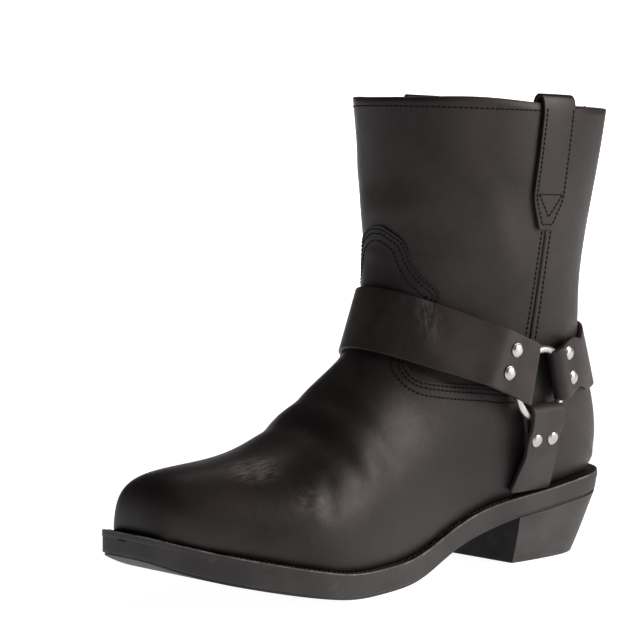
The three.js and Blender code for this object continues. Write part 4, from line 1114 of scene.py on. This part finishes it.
for ring in RINGS:
    for kind in ("instep", "heel", "arch"):
        for number in (1, 2):
            node = f"rivet_{kind}_{ring.word}_{number}"
            low, high = (Vector(corner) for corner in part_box(node))
            middle = (low + high) / 2
            spot, normal = from_outside(STRAPS, middle - ring.out * 0.01, ring.out)
            bpy.ops.mesh.primitive_uv_sphere_add(segments=32, ring_count=24, radius=1.0)
            piece = bpy.context.object
            piece.name = f"rivet_head_{kind}_{ring.word}_{number}"
            shape = points_of(piece)
            for i, (x, y, z) in enumerate(shape):
                far = min(1.0, math.hypot(x, y))
                height = rivet_height(far) if z >= 0 else -0.35 * (1 - far ** 6)
                shape[i] = (x * RIVET_RADIUS, y * RIVET_RADIUS, height * RIVET_DOME)
            move_points(piece, shape)
            facing = (normal + ring.out * 1.5).normalized()
            turn = facing.to_track_quat("Z", "Y").to_matrix().to_4x4()
            piece.data.transform(Matrix.Translation(spot) @ turn)
            bpy.ops.object.shade_smooth()
            piece.data.materials.append(RIVET_METAL)
            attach(piece, "root")
            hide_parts(node)


# Side seams: the shaft's front and back halves meet in a raised seam down each side, from under
# the pull loop to the harness, with a row of stitches on either side of it.
SEAM_WIDTH = 2.6 * MM
SEAM_HEIGHT = 0.9 * MM
COLLAR_FRONT = 243
COLLAR_DROP = 9
SHAFT_TOP_FRONT = 147.75
SHAFT_TOP_LENGTH = 154.05
SEAM_TOP = 64.4
SEAM_SLOPE = 0.115
SEAM_FOOT = 110
SEAM_LENGTH = 64


def collar_z(x):
    """Height of the collar above the floor at a place along the boot, in mm."""
    return COLLAR_FRONT - COLLAR_DROP * (SHAFT_TOP_FRONT - x) / SHAFT_TOP_LENGTH


def seam_x(z):
    """Place of the side seam at a height, in mm."""
    return SEAM_TOP + SEAM_SLOPE * (COLLAR_FRONT - z)


def side_spot(x, z, side):
    """Point of the boot's side at x and z in mm, and its outward direction."""
    return from_outside(BOOT, place(x, 0, z), Vector((0, side, 0)))


def ridge(name, line, width, height, material):
    """A low rounded cord along a line of points with outward directions."""
    sides = 9
    points, faces = [], []
    for i, (spot, up) in enumerate(line):
        along = (line[min(i + 1, len(line) - 1)][0] - line[max(i - 1, 0)][0]).normalized()
        across = up.cross(along).normalized()
        end = 0.25 if i in (0, len(line) - 1) else 1.0
        for k in range(sides):
            angle = math.pi * (1.15 * k / (sides - 1) - 0.075)
            offset = across * (math.cos(angle) * width / 2) + up * (math.sin(angle) * height * end)
            points.append(spot + offset)
        if i:
            a, b = (i - 1) * sides, i * sides
            faces += [(a + k, a + (k + 1) % sides, b + (k + 1) % sides, b + k) for k in range(sides)]
    last = (len(line) - 1) * sides
    faces += [tuple(range(sides)), tuple(range(last + sides - 1, last - 1, -1))]
    piece = piece_from(name, points, faces)
    piece.data.materials.append(material)
    shade(piece, 60)
    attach(piece, "root")
    return piece


SEAM_SHIFT = -2.0
SEAM_THREAD = thread("seam_thread", (0.0040, 0.0033, 0.0031), 0.7)
for ring in RINGS:
    heights = [SEAM_FOOT + SEAM_LENGTH * i / 40 for i in range(41)]
    line = [side_spot(seam_x(z) + SEAM_SHIFT, z, ring.side) for z in heights]
    piece = ridge("seam_ridge_" + ring.word, line, SEAM_WIDTH, SEAM_HEIGHT, UPPER_LEATHER)
    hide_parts("side_seam_" + ring.word)
    rows = []
    for shift in (-3.0, 3.5):
        rows.append([side_spot(seam_x(z) + SEAM_SHIFT + shift, z, ring.side)[0] for z in heights])
    sew("seam_stitches_" + ring.word, rows, BOOT, 2.6 * MM, 0.72 * MM, SEAM_THREAD, sink=0.3)


# Pull loops: a doubled strap of 23 mm over the collar on each side, one leg outside and one
# inside. Each is stitched along both edges and closed below with a pointed box of stitches.
PULL_THICKNESS = 1.9 * MM
PULL_WIDTH = 23
PULL_TIP = 10
PULL_LENGTH = 64
PULL_INSIDE = 36
PULL_TAPER = 16
PULL_RISE = 4.8
PULL_LEAN = 3.0
PULL_MIDDLE = 0.8
WALL = 2.2
# The stitches' distance from the strap's edge, and how far below the collar their box starts
PULL_INSET = 1.9
PULL_BOX = 46
PULL_LEATHER = oiled_leather("pull_leather", (0.0105, 0.0084, 0.0079), (0.0210, 0.0170, 0.0162), 0.43, 0.7)


def pull_rows(side):
    """Rows of points up the outside of the shaft, over its collar and down its inside."""
    rows = []
    away = Vector((0, side, 0))

    def row(drop, rise, out, width, lean=0.0):
        points = []
        for k in range(COLUMNS):
            x = PULL_MIDDLE + seam_x(COLLAR_FRONT + drop) + lean + width * (k / (COLUMNS - 1) - 0.5)
            rim = collar_z(x)
            wall = side_spot(x, rim + min(drop, -2.0), side)[0]
            points.append(Vector((wall.x, wall.y, place(0, 0, rim + drop + rise).z)) + away * out * MM)
        rows.append(points)

    half = PULL_THICKNESS / MM / 2
    near = 0.25 + half
    for share in (1, 0.965, 0.93, 0.86, 0.75, 0.625, 0.5, 0.375, 0.25, 0.14, 0.05):
        drop = -PULL_LENGTH * share
        taper = min(1.0, (PULL_LENGTH + drop) / PULL_TAPER)
        row(drop, 0, near, PULL_TIP + (PULL_WIDTH - PULL_TIP) * taper)
    for share in (0.15, 0.32, 0.5, 0.68, 0.85):
        angle = math.pi * share
        out = (WALL / 2 + near) * math.cos(angle) - WALL / 2
        row(0, PULL_RISE * math.sin(angle), out, PULL_WIDTH, PULL_LEAN * share)
    for share in (0.06, 0.2, 0.4, 0.6, 0.8, 1):
        row(-PULL_INSIDE * share, 0, -WALL - near, PULL_WIDTH, PULL_LEAN)
    return rows


PULL_THREAD = thread("pull_thread", (0.0060, 0.0050, 0.0046), 0.6)
for ring in RINGS:
    rows = pull_rows(ring.side)
    piece = ribbon("pull_strap_" + ring.word, rows, PULL_THICKNESS, PULL_LEATHER, edge=0.4 * MM)
    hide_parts("pull_loop_" + ring.word)
    face = surface_of(piece)
    lines = []

    def on_pull(across, drop, side=ring.side, face=face):
        """A point of the pull strap's outer face, from its middle line and the collar, in mm."""
        x = PULL_MIDDLE + seam_x(COLLAR_FRONT + drop) + across
        return from_outside(face, place(x, 0, collar_z(x) + drop), Vector((0, side, 0)))[0]

    edge = PULL_WIDTH / 2 - PULL_INSET
    tip = PULL_TIP / 2 - PULL_INSET + 0.6
    for sign in (-1, 1):
        run = [on_pull(sign * edge, -2 - PULL_BOX * i / 12) for i in range(13)]
        run += [on_pull(sign * (edge + (tip - edge) * i / 5), -48 - 13.2 * i / 5) for i in range(1, 6)]
        lines.append(run)
    lines.append([on_pull(tip * (1 - i / 2), -61.4) for i in range(5)])
    top = edge - 1.2
    lines.append([on_pull(top * (1 - i / 6), -PULL_BOX) for i in range(13)])
    for sign in (-1, 1):
        lines.append([on_pull(sign * top * (1 - i / 8), -PULL_BOX - 11.5 * i / 8) for i in range(9)])
    sew("pull_stitches_" + ring.word, lines, face, 2.4 * MM, 0.72 * MM, PULL_THREAD,
        sink=0.3)


# Stitch rows of the vamp and the collar: fine black waxed thread, two close rows just inside
# the vamp's edge and a third further in, and one row below the collar's cut edge.
def vamp_edge_line(side):
    """The vamp's edge on one side, from the ring to the tongue's peak, as points on the boot."""
    line = []
    for p in smooth_line([(x, z, 0) for x, z in SIDE_EDGE[:-1]], 5):
        line.append(from_outside(PLAIN, place(p.x, 0, p.y), Vector((0, side, 0)))[0])
    front = smooth_line([(y, z, 0) for y, z in TONGUE_EDGE], 4)[:-5]
    for p in reversed(front):
        hub = place(110, side * p.x, p.y)
        line.append(from_outside(PLAIN, hub, Vector((1, 0, 0)))[0])
    return line


def inset_line(line, surface, inset, side_hint):
    """The same line moved sideways along a surface."""
    moved = []
    count = len(line)
    for i, p in enumerate(line):
        spot, normal, _, _ = surface.find_nearest(p)
        if normal.dot(spot - core_point(spot)) < 0:
            normal = -normal
        along = line[min(i + 1, count - 1)] - line[max(i - 1, 0)]
        across = normal.cross(along).normalized() * side_hint
        place_on, facing, _, _ = surface.find_nearest(spot + across * inset)
        if facing.dot(place_on - core_point(place_on)) < 0:
            facing = -facing
        moved.append(place_on + facing * (OVERLAY + 0.4 * MM))
    return moved


VAMP_FACE = surface_of(vamp)
PLAIN = surface_of(upper)
rows = []
for side in (1, -1):
    edge = evenly(vamp_edge_line(side), 1.5 * MM)
    for inset in (1.7, 3.9, 7.6):
        rows.append(inset_line(edge, PLAIN, inset * MM, side))
sew("vamp_stitches", rows, VAMP_FACE, 2.4 * MM, 0.75 * MM, SEAM_THREAD, sink=0.3)

COLLAR_INSET = 3.4
collar_row = []
for i in range(181):
    angle = 2 * math.pi * i / 180
    away = Vector((math.cos(angle), math.sin(angle), 0))
    middle = place(72, 0, 238)
    spot = from_outside(BOOT, middle, away)[0]
    x = (spot.x - HEEL_EDGE) / MM
    hub = place(72, 0, collar_z(x) - COLLAR_INSET)
    collar_row.append(from_outside(BOOT, hub, away)[0])
sew("collar_stitches", [collar_row], BOOT, 2.8 * MM, 0.72 * MM, SEAM_THREAD, sink=0.3)


# Floor and light: a white sweep in a dim room. The key is a broad panel on the heel's side, with
# a smaller panel over the toe, as in a shop's product picture.
def studio_card(name, tone, glow):
    """White card that is lit a little from behind."""
    card = Finish(name)
    return card.close(Base_Color=tone, Roughness=0.9, Emission_Color=(1, 1, 1), Emission_Strength=glow)


bpy.ops.mesh.primitive_plane_add(size=5, location=(0, 0, 0))
floor = bpy.context.object
floor.name = "studio_floor"
floor.data.materials.append(studio_card("studio_floor_card", (0.6, 0.6, 0.6), 0.95))
bpy.ops.mesh.primitive_plane_add(size=1.6, location=(-1.26, -1.56, 0.11))
backdrop = bpy.context.object
backdrop.data.transform(Matrix.Diagonal((1, 0.4, 1, 1)))
backdrop.name = "studio_backdrop"
backdrop.rotation_euler = Vector((0.63, 0.77, 0.0)).to_track_quat("Z", "Y").to_euler()
backdrop.data.materials.append(studio_card("studio_backdrop_card", (0.85, 0.85, 0.85), 1.0))


LAMP_TONE = (1.0, 0.875, 0.87)
ROOM_GLOW = 0.085


def panel(name, spot, aim, size, power):
    """A square soft light that faces a point."""
    bpy.ops.object.light_add(type="AREA", location=spot)
    lamp = bpy.context.object
    lamp.name = name
    lamp.data.shape = "RECTANGLE"
    lamp.data.size, lamp.data.size_y = size
    lamp.data.energy = power
    lamp.data.color = LAMP_TONE
    lamp.rotation_euler = (Vector(aim) - Vector(spot)).to_track_quat("-Z", "Y").to_euler()
    return lamp


panel("key_panel", (-1.05, 1.25, 0.75), (0, 0, 0.12), (1.0, 1.1), 30)
panel("toe_panel", (-0.42, -0.51, 0.88), (0.09, 0.02, 0.066), (0.14, 0.12), 0.5)
world = bpy.data.worlds.new("dim_room")
world.use_nodes = True
world.node_tree.nodes["Background"].inputs["Color"].default_value = (*LAMP_TONE, 1)
world.node_tree.nodes["Background"].inputs["Strength"].default_value = ROOM_GLOW
bpy.context.scene.world = world


# Camera: a long lens that looks nearly level at the outer side, from a little behind the toe.
EYE = Vector((0.940, 1.1059, 0.2579))
AIM = Vector((0.0209, -0.0168, 0.1309))
bpy.ops.object.camera_add(location=EYE)
camera = bpy.context.object
camera.data.lens = 160.5
camera.data.sensor_width = 36
back = (EYE - AIM).normalized()
right = Vector((0, 0, 1)).cross(back).normalized()
above = back.cross(right)
ROLL = math.radians(-0.96)
level = right * math.cos(ROLL) + above * math.sin(ROLL)
above = above * math.cos(ROLL) - right * math.sin(ROLL)
camera.matrix_world = Matrix.Translation(EYE) @ Matrix((level, above, back)).transposed().to_4x4()
scene = bpy.context.scene
scene.camera = camera
scene.render.resolution_percentage = 100
scene.view_settings.view_transform = "Standard"
